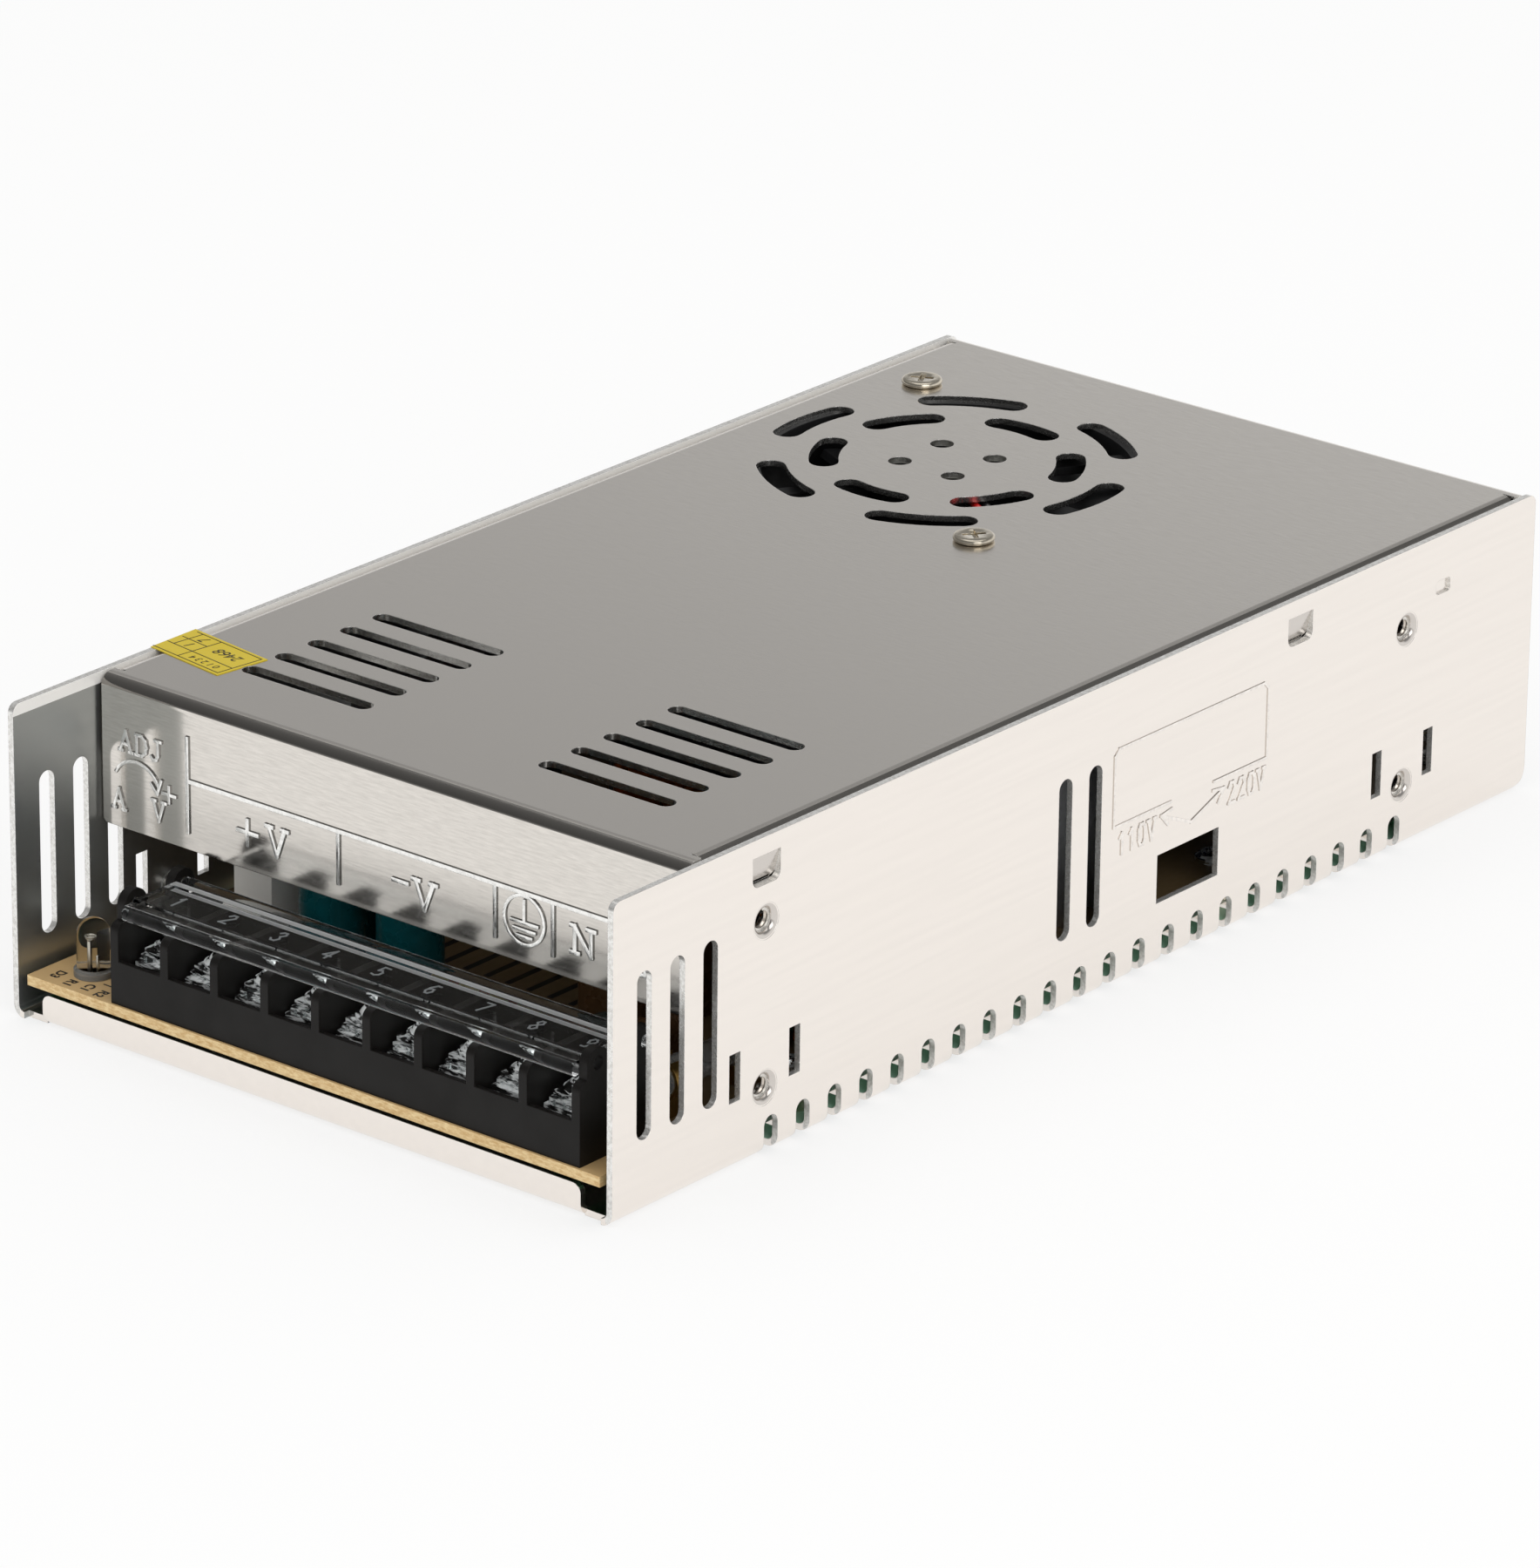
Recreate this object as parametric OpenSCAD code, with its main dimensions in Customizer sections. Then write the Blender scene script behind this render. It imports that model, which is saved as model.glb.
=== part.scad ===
// Enclosed switching power supply: folded aluminium chassis and cover, top fan, barrier terminal
// block with a clear flip cover, and the circuit board with its parts.
// X runs across the case, Y from the terminal end to the rear, Z up from the floor.

/* [Case] */
// Length of the case, terminal end to rear
case_l = 215; // [208:1:240]
// Width of the case over the side walls
case_w = 113; // [111:1:125]
// Height of the case
case_h = 48; // [46:1:56]
// Thickness of the folded sheet
sheet_t = 1; // [0.8:0.1:1.2]
// Inside radius of the sheet bends
bend_r = 1; // [0.6:0.1:1.4]
// Height of the front lip
lip_h = 4.9; // [4:0.1:5]
// Distance from the case side to the end of each lip
lip_inset = 5.7; // [4.5:0.1:9]
// Height of the rear lip that the cover is screwed to
rear_lip_h = 10; // [8:0.5:14]
// Round of the walls' lower rear corners
rear_round = 4; // [2:0.5:6]
// Round of the walls' upper corners
wall_round = 1.5; // [0.5:0.5:3]

/* [Side walls] */
// Distance between the side mounting holes along the case
side_hole_pitch_y = 150; // [140:1:155]
// Distance between the side mounting holes up the wall
side_hole_pitch_z = 25; // [22:0.5:26]
// Height of the lower side mounting holes
side_hole_z = 10.3; // [9:0.1:12]
// Radius of the tapped mounting holes
tapped_r = 1.65; // [1.25:0.05:2.1]
// Length of the drawn neck behind each tapped hole
neck_len = 1.6; // [1:0.1:2]
// Width of the tall side slots
side_slot_w = 3.1; // [2:0.1:4]
// Height of the tall side slots
side_slot_h = 25; // [20:0.5:26]
// Distance between neighbouring side slots
side_slot_pitch = 7; // [5:0.5:9]
// Number of vent slots along each lower edge
edge_slot_n = 22; // [10:1:24]
// Distance between the lower edge slots
edge_slot_pitch = 7; // [5:0.25:7.5]
// Width of a lower edge slot
edge_slot_w = 3; // [2:0.1:4]
// Height of a lower edge slot on the wall
edge_slot_h = 5.7; // [4:0.1:6]
// Reach of a lower edge slot under the case
edge_slot_reach = 5.6; // [3.5:0.1:7]
// Length of the selector window
window_l = 14.8; // [10:0.2:18]
// Height of the selector window
window_h = 7.6; // [5:0.2:10]

/* [Cover] */
// Depth of the open wiring bay in front of the cover
bay_depth = 17.5; // [17.4:0.1:20]
// Height of the cover's front flange
flange_h = 22.8; // [18:0.1:23]
// Gap between the cover and the side walls
cover_gap = 0.3; // [0.1:0.1:0.5]
// Height of the cover's side folds
side_fold_h = 8.4; // [7:0.1:9]
// Length of a top vent slot
vent_l = 24.4; // [15:0.2:26]
// Width of a top vent slot
vent_w = 3; // [2:0.1:4]
// Number of slots in each vent group
vent_n = 5; // [2:1:6]
// Distance between the vent slots
vent_pitch = 7; // [5:0.5:7.5]
// Number of slots in the cover's rear wall
rear_slot_n = 13; // [5:2:13]
// Height of a rear wall slot
rear_slot_h = 24; // [15:0.5:26]

/* [Fan] */
// Side of the square fan frame
fan_size = 60; // [56:1:62]
// Depth of the fan
fan_depth = 15; // [14:0.5:16]
// Distance between the fan screws
fan_hole_pitch = 50; // [48:0.5:50]
// Distance from the fan's axis to the rear of the case
fan_from_rear = 47; // [42:0.5:52]
// Sideways place of the fan's axis
fan_x = -20; // [-21:0.5:-10]
// Number of fan blades
blade_n = 7; // [5:1:9]
// Radius of the fan hub
hub_r = 13; // [12:0.25:14]
// Radius of the fan shaft
shaft_r = 1.5; // [1.2:0.05:1.8]
// Radial clearance of the shaft in its bearing
shaft_play = 0.04; // [0.02:0.01:0.08]
// Width of the grille's arc slots
arc_w = 4.6; // [3:0.1:5]

/* [Circuit board] */
// Height of the board's standoffs
standoff_h = 4.3; // [4:0.1:5]
// Thickness of the board
board_t = 1.6; // [1.2:0.1:2]
// Gap between the board and each side wall
board_gap = 1.5; // [1:0.1:2]
// Gap between the board's front edge and the front of the case
board_front_gap = 0.3; // [0:0.1:0.6]
// Gap between the board and the rear of the case
board_rear_gap = 8.5; // [7:0.5:12]

/* [Terminal block] */
// Number of terminals
pole_n = 9; // [4:1:9]
// Distance between terminals
pole_pitch = 9.6; // [8:0.1:9.8]
// Thickness of the barriers
barrier_t = 1.5; // [1:0.1:2]
// Depth of the block, front to rear
block_d = 16; // [15.5:0.1:16.3]
// Height of the block's base
block_base_h = 6.7; // [5.5:0.1:7.5]
// Height of the barriers
barrier_h = 12.5; // [12:0.1:13]
// Sideways place of the block's middle
block_x = 6.1; // [3:0.1:8]
// Height of the cover pivots above the board
pivot_h = 14.5; // [14.2:0.1:15]
// Radius of the cover pivots
pivot_r = 0.95; // [0.7:0.05:1.1]
// Radial clearance of the pivots
pivot_play = 0.05; // [0.03:0.01:0.09]
// Thickness of the clear cover
clear_t = 1; // [0.8:0.1:1.2]
// Radius of a terminal screw head
terminal_head_r = 3.1; // [2.5:0.1:3.3]

/* [Parts on the board] */
// Diameter of the lamp
led_d = 5; // [4:0.1:5.6]
// Diameter of an output capacitor
output_cap_d = 9.8; // [8:0.1:10.4]
// Height of an output capacitor
output_cap_h = 21; // [15:0.5:25]
// Diameter of a bulk capacitor
bulk_cap_d = 22; // [18:0.5:23]
// Height of a bulk capacitor
bulk_cap_h = 34; // [25:0.5:36]
// Height of the two heatsinks
heatsink_h = 29; // [26:0.5:31]
// Length of the two heatsinks
heatsink_l = 46; // [42:0.5:50]
// Thickness of a heatsink plate
heatsink_t = 3; // [2:0.1:4]
// Outer radius of the output choke core
choke_r = 12.5; // [11:0.1:13]
// Height of the output choke core
choke_h = 10; // [8:0.1:12]
// Outer radius of the line choke core
line_choke_r = 9; // [8:0.1:9.5]
// Height of the line choke core
line_choke_h = 9; // [7:0.1:11]

/* [Hidden] */
$fn = 64;
tiny = 0.01;
past = 1;

// Case faces
front = -case_l / 2;
rear = case_l / 2;
side_in = case_w / 2 - sheet_t;
roof_in = case_h - sheet_t;
lip_half = case_w / 2 - lip_inset;
bend_out = bend_r + sheet_t;
flange_y = front + bay_depth;

// Shares of the drawn case, which place and size the terminals and the parts on the board
share_x = side_in / 55.5;
share_y = (rear - flange_y) / 197.5;
share = min(share_x, share_y);
function on_board(x, y) = [x * share_x, flange_y + y * share_y];

// Side wall features
slot_mid_z = side_hole_z + 13.3;
key_slot = [2.4, 7.3];
key_slot_z = side_hole_z + 3.6;
key_slot_from_hole = 6.5;
front_slot_y = front + 6.6;
front_slot_n = 3;
mid_slot_y = -7.8;
mid_slot_n = 2;
window_y = 21.8;
window_z = 13.7;
tab_size = [6, 4.4];
tab_round = 1.2;
tab_depth = 1.15 * sheet_t;
tab_step = 0.15;
tab_slit = 0.35;
tab_z = case_h - 4.8;
tab_ys = [-side_hole_pitch_y / 2, 48];
tab_room = 0.6;
dimple_size = [3.6, 2.2];
dimple_round = 0.6;
dimple_y = 84;
dimple_z = case_h - 8.3;
dimple_depth = 0.5 * sheet_t;
neck_r = tapped_r + 0.95;
funnel_round = 1.1;
funnel_r = tapped_r + funnel_round;
bottom_hole_pitch_x = 50;

// Cover
cover_half = side_in - cover_gap;
front_flange_half = cover_half - 0.35;
cover_rear = rear - 0.5;
rear_lip_y = cover_rear - sheet_t;
corner_relief = bend_out + 1.2;
relief_gap = 0.3;
vent_group_x = [-28.8, 27.4];
vent_mid_y = flange_y + 29.2;
arc_outer_r = 27.1 / 60 * fan_size;
arc_inner_r = 18.9 / 60 * fan_size;
arc_outer_half = 13.5;
arc_inner_half = 13.5;
grille_hole_r = 1.85;
grille_hole_off = 5.15;
cover_screw_x = case_w / 2 - 16.5;
cover_screw_z = rear_lip_h - 3;
screw_m3_r = 1.5;
screw_play = 0.15;
flat_head_r = 2.6;
flange_round = 0.8;
label_size = [15.6, 9.4];
label_angle = -8;
label_t = 0.1;
label_drop = 8;
label_y = flange_y + 17;
rear_slot_w = 3;
rear_slot_pitch = 7;
rear_slot_z = case_h / 2 + 4;

// Fan
fan_mid_x = fan_x * share_x;
fan_y = rear - fan_from_rear;
fan_z = roof_in - fan_depth;
fan_flange_t = 3;
duct_r = fan_size / 2 - 1.4;
spider_t = 1.3;
lead_d = 1.2;
spider_top = roof_in - lead_d - 0.3;
spider_low = spider_top - spider_t;
spoke_w = 3;
spoke_angle = -33;
bearing_wall = 1.2;
boss_wall = 1;
bearing_r = shaft_r + shaft_play + bearing_wall;
boss_r = bearing_r + boss_wall;
rotor_gap = 0.6;
rotor_top = spider_low - rotor_gap;
rotor_low = fan_z + 1;
hub_wall = 1.4;
blade_tip_r = duct_r - 0.9;
blade_t = 1.1;
blade_curve_r = 16;
blade_pitch = 38;
stator_r = hub_r - hub_wall - rotor_gap;
stator_fit = 0.05;
fan_hole_r = 2.15;
fan_screw_len = 8;
nut_h = 2.4;
nut_r = 3.1;
pan_head_r = 3;
pan_head_h = 2;

// Board
board_low = sheet_t + standoff_h;
board_top = board_low + board_t;
board_half = side_in - board_gap;
board_front = front + board_front_gap;
board_rear = rear - board_rear_gap;
standoff_r = 2.6;
board_screw_len = 5;
board_screw_head_r = 2.7;
board_screws_at = [
    on_board(-47, 6), on_board(50, 29), on_board(-47, 124.5), on_board(48, 129.5),
    on_board(-49, 184), on_board(49, 184)
];

// Terminal block
pitch = pole_pitch * share_x;
block_mid = block_x * share_x;
block_w = pole_n * pitch + barrier_t;
block_front = board_front + 0.4;
block_rear = block_front + block_d;
pole_floor_drop = 1.4;
sill_t = 0.8;
base_top = board_top + block_base_h - pole_floor_drop;
barrier_top = board_top + barrier_h;
barrier_round = 1.5;
pivot_z = board_top + pivot_h;
pivot_y = block_front + 13.8;
front_ear_y = block_front + 3.8;
ear_r = 2.3;
ear_hole_r = pivot_r + pivot_play;
pole_y = block_front + 7.7;
contact_t = 0.8;
contact_size = [pitch - barrier_t - 0.6, 9];
clamp_plate_t = 0.7;
clamp_slit = 0.2;
clamp_t = 2 * clamp_plate_t + clamp_slit;
clamp_size = [contact_size[0] - 0.3, 7];
clamp_step = 0.4;
clamp_notch = [0.6, 0.45];
clamp_notch_n = 4;
terminal_shank_r = 1.7;
terminal_shank_len = 4.6;
terminal_flange_t = 0.5;
terminal_head_h = 2.4;
contact_top = base_top + contact_t;
clamp_top = contact_top + clamp_t;
clear_gap = 0.3;
clear_w = block_w - 2 * barrier_t - 2 * clear_gap;
clear_top = pivot_z + 0.6;
clear_front = block_front + 0.4;
skirt_h = 2.3;
skirt_t = 1.1;
clear_rear = pivot_y + 0.7;
barrel_r = pivot_r + 0.15;

// Lamp and trimmer
led_at = [-board_half + 7.1, board_front + 6.4];
led_h = 8.8;
led_rim = 0.45;
led_rim_h = 1;
trimmer_at = [-board_half + 7.4, board_front + 13.2];
trimmer_w = 6.6;
trimmer_h = 4.4;
trimmer_rotor_r = 2.4;
trimmer_pin_r = 0.8;

// Output section
load_resistor_size = [7.3, 9, 21];
load_resistor_at = on_board(-35.1, 14.6);
output_caps_at = [on_board(-20.4, 11), on_board(-5.6, 11), on_board(-20.4, 23)];
choke_at = on_board(-22, 48.5);
choke_bore_r = choke_r - 6;
choke_wire_r = 0.8;
choke_turns = 16;
winding_gap = 0.5;
output_heatsink_at = on_board(-45, 62);
package_size = [5, 15.6, 20];
package_z = 5;
package_pitch = 21;
package_hole_z = 15;
fin_t = 1.2;
fin_l = 6;
fin_n = 6;

// Transformers: core width, core depth, core height, leg, window, base height
main_core = [38, 13, 30, 10, 8.5, 3.5];
main_at = on_board(9, 66);
driver_core = [19, 6, 17, 5, 4.5, 2.5];
driver_at = on_board(12, 98);

// Input section
input_heatsink_at = on_board(45, 81);
bulk_caps_at = [on_board(28.5, 114.5), on_board(28.5, 139.5)];
bridge_at = on_board(47, 147.5);
bridge_size = [4.8, 23, 19];
line_choke_at = on_board(41, 44);
line_choke_bore_r = line_choke_r - 4.2;
line_choke_wire_r = 0.6;
line_choke_turns = 7;
line_cap_size = [9.5, 25, 17];
line_cap_at = on_board(24.5, 30);
safety_cap_at = [on_board(37, 12), on_board(37, 19)];
safety_cap_d = 8;
safety_cap_t = 3.6;
fuse_at = on_board(47, 13.5);
fuse_l = 20;
fuse_r = 2.6;
fuse_axis_h = 5.5;
fuse_cap_l = 5;
clip_t = 0.5;
thermistor_at = on_board(36.5, 4.5);
thermistor_d = 11;
thermistor_t = 4.6;

// Control section
coupling_cap_size = [8, 17, 13];
coupling_cap_at = on_board(-9, 99);
chip_size = [6.4, 19.5, 3.4];
chip_at = on_board(-20, 142.5);
chip_stand = 0.6;
small_cap_d = 6.2;
small_cap_h = 11;
small_caps_at = [
    on_board(-38, 154.5), on_board(-38, 164.5), on_board(-8, 162.5), on_board(-6, 174.5),
    on_board(-29, 174.5)
];
resistor_r = 1.2;
resistor_l = 6.5;
resistor_span = 10;
resistor_row_at = on_board(-24, 159.5);
resistor_pitch = 3.6;
resistor_n = 4;
plug_size = [7.4, 5, 3.6];
header_size = [7.4, 5.6, 5.2];
header_at = on_board(15.5, 128);

// Plane shapes

module rounded_rect(w, h, r) {
    square([w - 2 * r, h], center = true);
    square([w, h - 2 * r], center = true);
    for (x = [-1, 1], y = [-1, 1])
        translate([x * (w / 2 - r), y * (h / 2 - r)]) circle(r);
}

module slot_shape(w, h) {
    square([w, h - w], center = true);
    for (y = [-1, 1])
        translate([0, y * (h - w) / 2]) circle(d = w);
}

// Waste of a rounded corner whose material lies towards +x and +y
module corner_waste(r) {
    difference() {
        translate([-past, -past]) square(r + past);
        translate([r, r]) circle(r);
    }
}

// Bent strip with its outer corner at the origin and its legs along +x and +y
module bent_strip(a, b) {
    difference() {
        square([a, b]);
        corner_waste(bend_out);
        translate([sheet_t, sheet_t]) difference() {
            square([a, b]);
            corner_waste(bend_r);
        }
    }
}

// Sheet channel of outer width w and leg height h, open upwards
module channel(w, h) {
    difference() {
        translate([-w / 2, 0]) square([w, h]);
        for (s = [0, 1])
            mirror([s, 0]) translate([-w / 2, 0]) corner_waste(bend_out);
        difference() {
            translate([-w / 2 + sheet_t, sheet_t]) square([w - 2 * sheet_t, h]);
            for (s = [0, 1])
                mirror([s, 0]) translate([-w / 2 + sheet_t, sheet_t]) corner_waste(bend_r);
        }
    }
}

// Directions

// Plane x to Y, plane y to Z, depth centred on X
module along_x(len) {
    rotate([90, 0, 90]) linear_extrude(len, center = true) children();
}

// Plane x to X, plane y to Z, depth centred on Y
module along_y(len) {
    rotate([90, 0, 0]) linear_extrude(len, center = true) children();
}

module both_sides() {
    children();
    mirror([1, 0, 0]) children();
}

module block_at(at, size, z = board_top) {
    translate([at[0] - size[0] / 2, at[1] - size[1] / 2, z]) cube(size);
}

// A part that stands on the board, drawn about its own foot
module sized(at) {
    translate([at[0], at[1], board_top]) scale(share) children();
}

// Round wire along a path, with one sideways direction for each point
function unit(v) = v / norm(v);
function heading(p, i) = unit(p[min(i + 1, len(p) - 1)] - p[max(i - 1, 0)]);
function ring(c, t, side, r, n) =
    let (b = unit(cross(t, side)), m = cross(b, t))
    [for (k = [0 : n - 1]) c + r * (cos(360 * k / n) * m + sin(360 * k / n) * b)];

module wire(path, sides, r, n = 8) {
    last = len(path) - 1;
    points = [for (i = [0 : last]) each ring(path[i], heading(path, i), sides[i], r, n)];
    skin = [
        for (i = [0 : last - 1], k = [0 : n - 1])
            let (a = i * n + k, b = i * n + (k + 1) % n)
                each [[a, a + n, b + n], [a, b + n, b]]
    ];
    caps = [[for (k = [0 : n - 1]) k], [for (k = [n - 1 : -1 : 0]) last * n + k]];
    polyhedron(points, concat(skin, caps));
}

// Chassis

module tapped_holes_at() {
    both_sides()
        for (y = [-1, 1], z = [0, 1])
            translate([side_in, y * side_hole_pitch_y / 2, side_hole_z + z * side_hole_pitch_z])
                rotate([0, 90, 0]) children();
    for (x = [-1, 1], y = [-1, 1])
        translate([x * bottom_hole_pitch_x / 2, y * side_hole_pitch_y / 2, sheet_t])
            rotate([180, 0, 0]) children();
}

module neck() {
    translate([0, 0, -neck_len]) cylinder(r = neck_r, h = neck_len + tiny);
}

module neck_bore() {
    translate([0, 0, -neck_len - past]) cylinder(r = tapped_r, h = neck_len + sheet_t + 2 * past);
    translate([0, 0, sheet_t - funnel_round]) difference() {
        cylinder(r = funnel_r, h = funnel_round + tiny);
        rotate_extrude() translate([funnel_r, 0]) circle(funnel_round - 0.05);
    }
}

// Square upper corners, round lower ones
module tab_shape() {
    rounded_rect(tab_size[0], tab_size[1], tab_round);
    translate([-tab_size[0] / 2, 0]) square([tab_size[0], tab_size[1] / 2]);
}

module dimple_shape() {
    rounded_rect(dimple_size[0], dimple_size[1], dimple_round);
}

// Pressed-in tabs slope from the wall's outer face to their sheared lower edge: slabs from one depth
// behind the sloping face to another
module tabs(from, to) {
    slope = asin((tab_depth - tab_step) / tab_size[1]);
    both_sides() for (y = tab_ys)
        translate([case_w / 2 - tab_step, y, tab_z + tab_size[1] / 2]) rotate([0, slope, 0])
            translate([-(from + to) / 2, 0, -tab_size[1] / 2]) along_x(to - from) tab_shape();
}

module dimples(x_face, depth) {
    both_sides() translate([x_face - depth / 2, dimple_y, dimple_z]) along_x(depth) dimple_shape();
}

module side_slots() {
    for (i = [0 : front_slot_n - 1])
        translate([0, front_slot_y + i * side_slot_pitch, slot_mid_z])
            along_x(case_w + past) slot_shape(side_slot_w, side_slot_h);
    for (i = [0 : mid_slot_n - 1])
        translate([0, mid_slot_y + i * side_slot_pitch, slot_mid_z])
            along_x(case_w + past) slot_shape(side_slot_w, side_slot_h);
    for (y = [-1, 1], s = [-1, 1])
        translate([0, y * side_hole_pitch_y / 2 + s * key_slot_from_hole, key_slot_z])
            along_x(case_w + past) square(key_slot, center = true);
}

module edge_slots() {
    top = edge_slot_h - edge_slot_w / 2;
    low = sheet_t + 0.3;
    for (i = [0 : edge_slot_n - 1])
        translate([0, (i - (edge_slot_n - 1) / 2) * edge_slot_pitch, 0]) {
            along_x(case_w + past) {
                translate([-edge_slot_w / 2, low]) square([edge_slot_w, top - low]);
                translate([0, top]) circle(d = edge_slot_w);
            }
            both_sides() translate([0, 0, -past]) linear_extrude(low + past + tiny)
                translate([case_w / 2 - edge_slot_reach, -edge_slot_w / 2])
                    square([edge_slot_reach + past, edge_slot_w]);
        }
}

module lip(h) {
    leg = bend_out + 2;
    difference() {
        along_x(2 * lip_half) bent_strip(leg, h);
        for (s = [0, 1])
            mirror([s, 0, 0]) translate([-lip_half, 0, h]) mirror([0, 0, 1])
                along_y(2 * leg) corner_waste(wall_round);
    }
}

module chassis() {
    clear_half = case_w / 2 - bend_out;
    color("gainsboro") difference() {
        union() {
            difference() {
                along_y(case_l) channel(case_w, case_h);
                // The plate stops short of the walls' ends, where the lips fold up
                translate([-clear_half, front - past, -past])
                    cube([2 * clear_half, past + bend_out + 1, past + sheet_t + tiny]);
                translate([-clear_half, rear_lip_y - bend_out - 1, -past])
                    cube([2 * clear_half, bend_out + 4, past + sheet_t + tiny]);
                for (y = [front, rear])
                    translate([0, y, case_h]) mirror([0, y > 0 ? 1 : 0, 0]) mirror([0, 0, 1])
                        along_x(case_w + past) corner_waste(wall_round);
                translate([0, rear, 0]) mirror([0, 1, 0]) along_x(case_w + past) corner_waste(rear_round);
            }
            translate([-clear_half, front + sheet_t, 0]) cube([2 * clear_half, bend_out + 1, sheet_t]);
            translate([0, front, 0]) lip(lip_h);
            translate([0, rear_lip_y, 0]) mirror([0, 1, 0]) lip(rear_lip_h);
            tapped_holes_at() neck();
            tabs(tiny, 0.85 * sheet_t);
            dimples(side_in + tiny, dimple_depth);
        }
        // Under the front lip the plate follows the bend
        translate([0, front, 0]) along_x(2 * lip_half) corner_waste(bend_out);
        tapped_holes_at() neck_bore();
        side_slots();
        edge_slots();
        translate([side_in, window_y, window_z]) along_x(4 * sheet_t)
            square([window_l, window_h], center = true);
        tabs(-3 * sheet_t, 0);
        dimples(case_w / 2 + tiny, dimple_depth);
        both_sides() for (y = tab_ys)
            translate([side_in, y, tab_z - tab_size[1] / 2])
                along_x(4 * sheet_t) translate([0, tab_slit])
                    square([tab_size[0] - 2 * tab_round, tab_slit], center = true);
        for (x = [-1, 1])
            translate([x * cover_screw_x, rear_lip_y - sheet_t / 2, cover_screw_z])
                rotate([90, 0, 0]) cylinder(r = screw_m3_r + tiny, h = 2 * sheet_t, center = true);
    }
}

// Cover

module vent_slots() {
    for (x = vent_group_x, i = [0 : vent_n - 1])
        translate([x, vent_mid_y + (i - (vent_n - 1) / 2) * vent_pitch, roof_in - past])
            linear_extrude(sheet_t + 2 * past) rotate(90) slot_shape(vent_w, vent_l);
}

module arc_slot(r, half, mid) {
    cut = sheet_t + 2 * past;
    rotate(mid - half) rotate_extrude(angle = 2 * half) translate([r - arc_w / 2, 0]) square([arc_w, cut]);
    for (s = [-1, 1])
        rotate(mid + s * half) translate([r, 0, 0]) cylinder(d = arc_w - 4 * tiny, h = cut);
}

module grille() {
    translate([fan_mid_x, fan_y, roof_in - past]) {
        for (i = [0 : 5]) {
            arc_slot(arc_outer_r, arc_outer_half, 60 * i);
            arc_slot(arc_inner_r, arc_inner_half, 60 * i + 30);
        }
        for (x = [-1, 1], y = [-1, 1])
            translate([x, y] * grille_hole_off) cylinder(r = grille_hole_r, h = sheet_t + 2 * past);
    }
}

module fan_screws_at(z) {
    for (s = [-1, 1])
        translate([fan_mid_x + s * fan_hole_pitch / 2, fan_y - s * fan_hole_pitch / 2, z]) children();
}

module cover_screws_at(y) {
    for (x = [-1, 1])
        translate([x * cover_screw_x, y, cover_screw_z]) rotate([-90, 0, 0]) children();
}

module top_cover() {
    fold_front = flange_y + corner_relief;
    fold_rear = cover_rear - corner_relief;
    flat_half = cover_half - bend_out - relief_gap;
    rear_wall_h = case_h - sheet_t - bend_out;
    color("silver") difference() {
        union() {
            translate([0, (fold_front + fold_rear) / 2, case_h]) mirror([0, 0, 1])
                along_y(fold_rear - fold_front) channel(2 * cover_half, side_fold_h);
            translate([0, flange_y, case_h]) mirror([0, 0, 1])
                along_x(2 * front_flange_half) bent_strip(corner_relief - relief_gap, flange_h);
            translate([0, cover_rear, case_h]) mirror([0, 1, 0]) mirror([0, 0, 1])
                along_x(2 * front_flange_half) bent_strip(corner_relief - relief_gap, rear_wall_h);
            // Flat of the roof, across the reliefs at its four corners
            translate([-flat_half, flange_y + bend_out, roof_in])
                cube([2 * flat_half, cover_rear - flange_y - 2 * bend_out, sheet_t]);
        }
        vent_slots();
        grille();
        fan_screws_at(roof_in - past) cylinder(r = screw_m3_r + screw_play, h = sheet_t + 2 * past);
        cover_screws_at(cover_rear - sheet_t - past) cylinder(r = screw_m3_r + screw_play, h = 2 * past);
        cover_screws_at(cover_rear - sheet_t)
            cylinder(r1 = screw_m3_r + screw_play, r2 = flat_head_r + screw_play, h = sheet_t + tiny);
        // Rounded lower corners of the front flange
        both_sides() translate([-front_flange_half, flange_y, case_h - flange_h])
            along_y(4 * sheet_t) corner_waste(flange_round);
        for (i = [0 : rear_slot_n - 1])
            translate([(i - (rear_slot_n - 1) / 2) * rear_slot_pitch, cover_rear, rear_slot_z])
                along_y(4 * sheet_t) slot_shape(rear_slot_w, rear_slot_h);
        // Catches for the walls' pressed-in tabs
        both_sides() for (y = tab_ys)
            translate([cover_half, y, tab_z]) along_x(4 * sheet_t)
                square([tab_size[0] + tab_room, tab_size[1] + tab_room], center = true);
        both_sides() translate([cover_half, dimple_y, dimple_z]) along_x(4 * sheet_t)
            square([dimple_size[0] + tab_room, dimple_size[1] + tab_room], center = true);
    }
}

// Round head with a domed top
module dome_head(r, h) {
    dome = 0.62 * h;
    ball = (r * r + dome * dome) / (2 * dome);
    intersection() {
        cylinder(r = r, h = h);
        translate([0, 0, h - ball]) sphere(ball);
    }
}

module cross_recess(r, top, depth) {
    w = 0.28 * r;
    for (a = [0, 90])
        rotate(a) translate([-0.6 * r, -w / 2, top - depth]) cube([1.2 * r, w, depth + past]);
}

module pan_screw(len, r, head_r, head_h) {
    difference() {
        union() {
            dome_head(head_r, head_h);
            translate([0, 0, -len]) cylinder(r = r, h = len + tiny);
        }
        cross_recess(head_r, head_h, 0.7 * head_h);
    }
}

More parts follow.
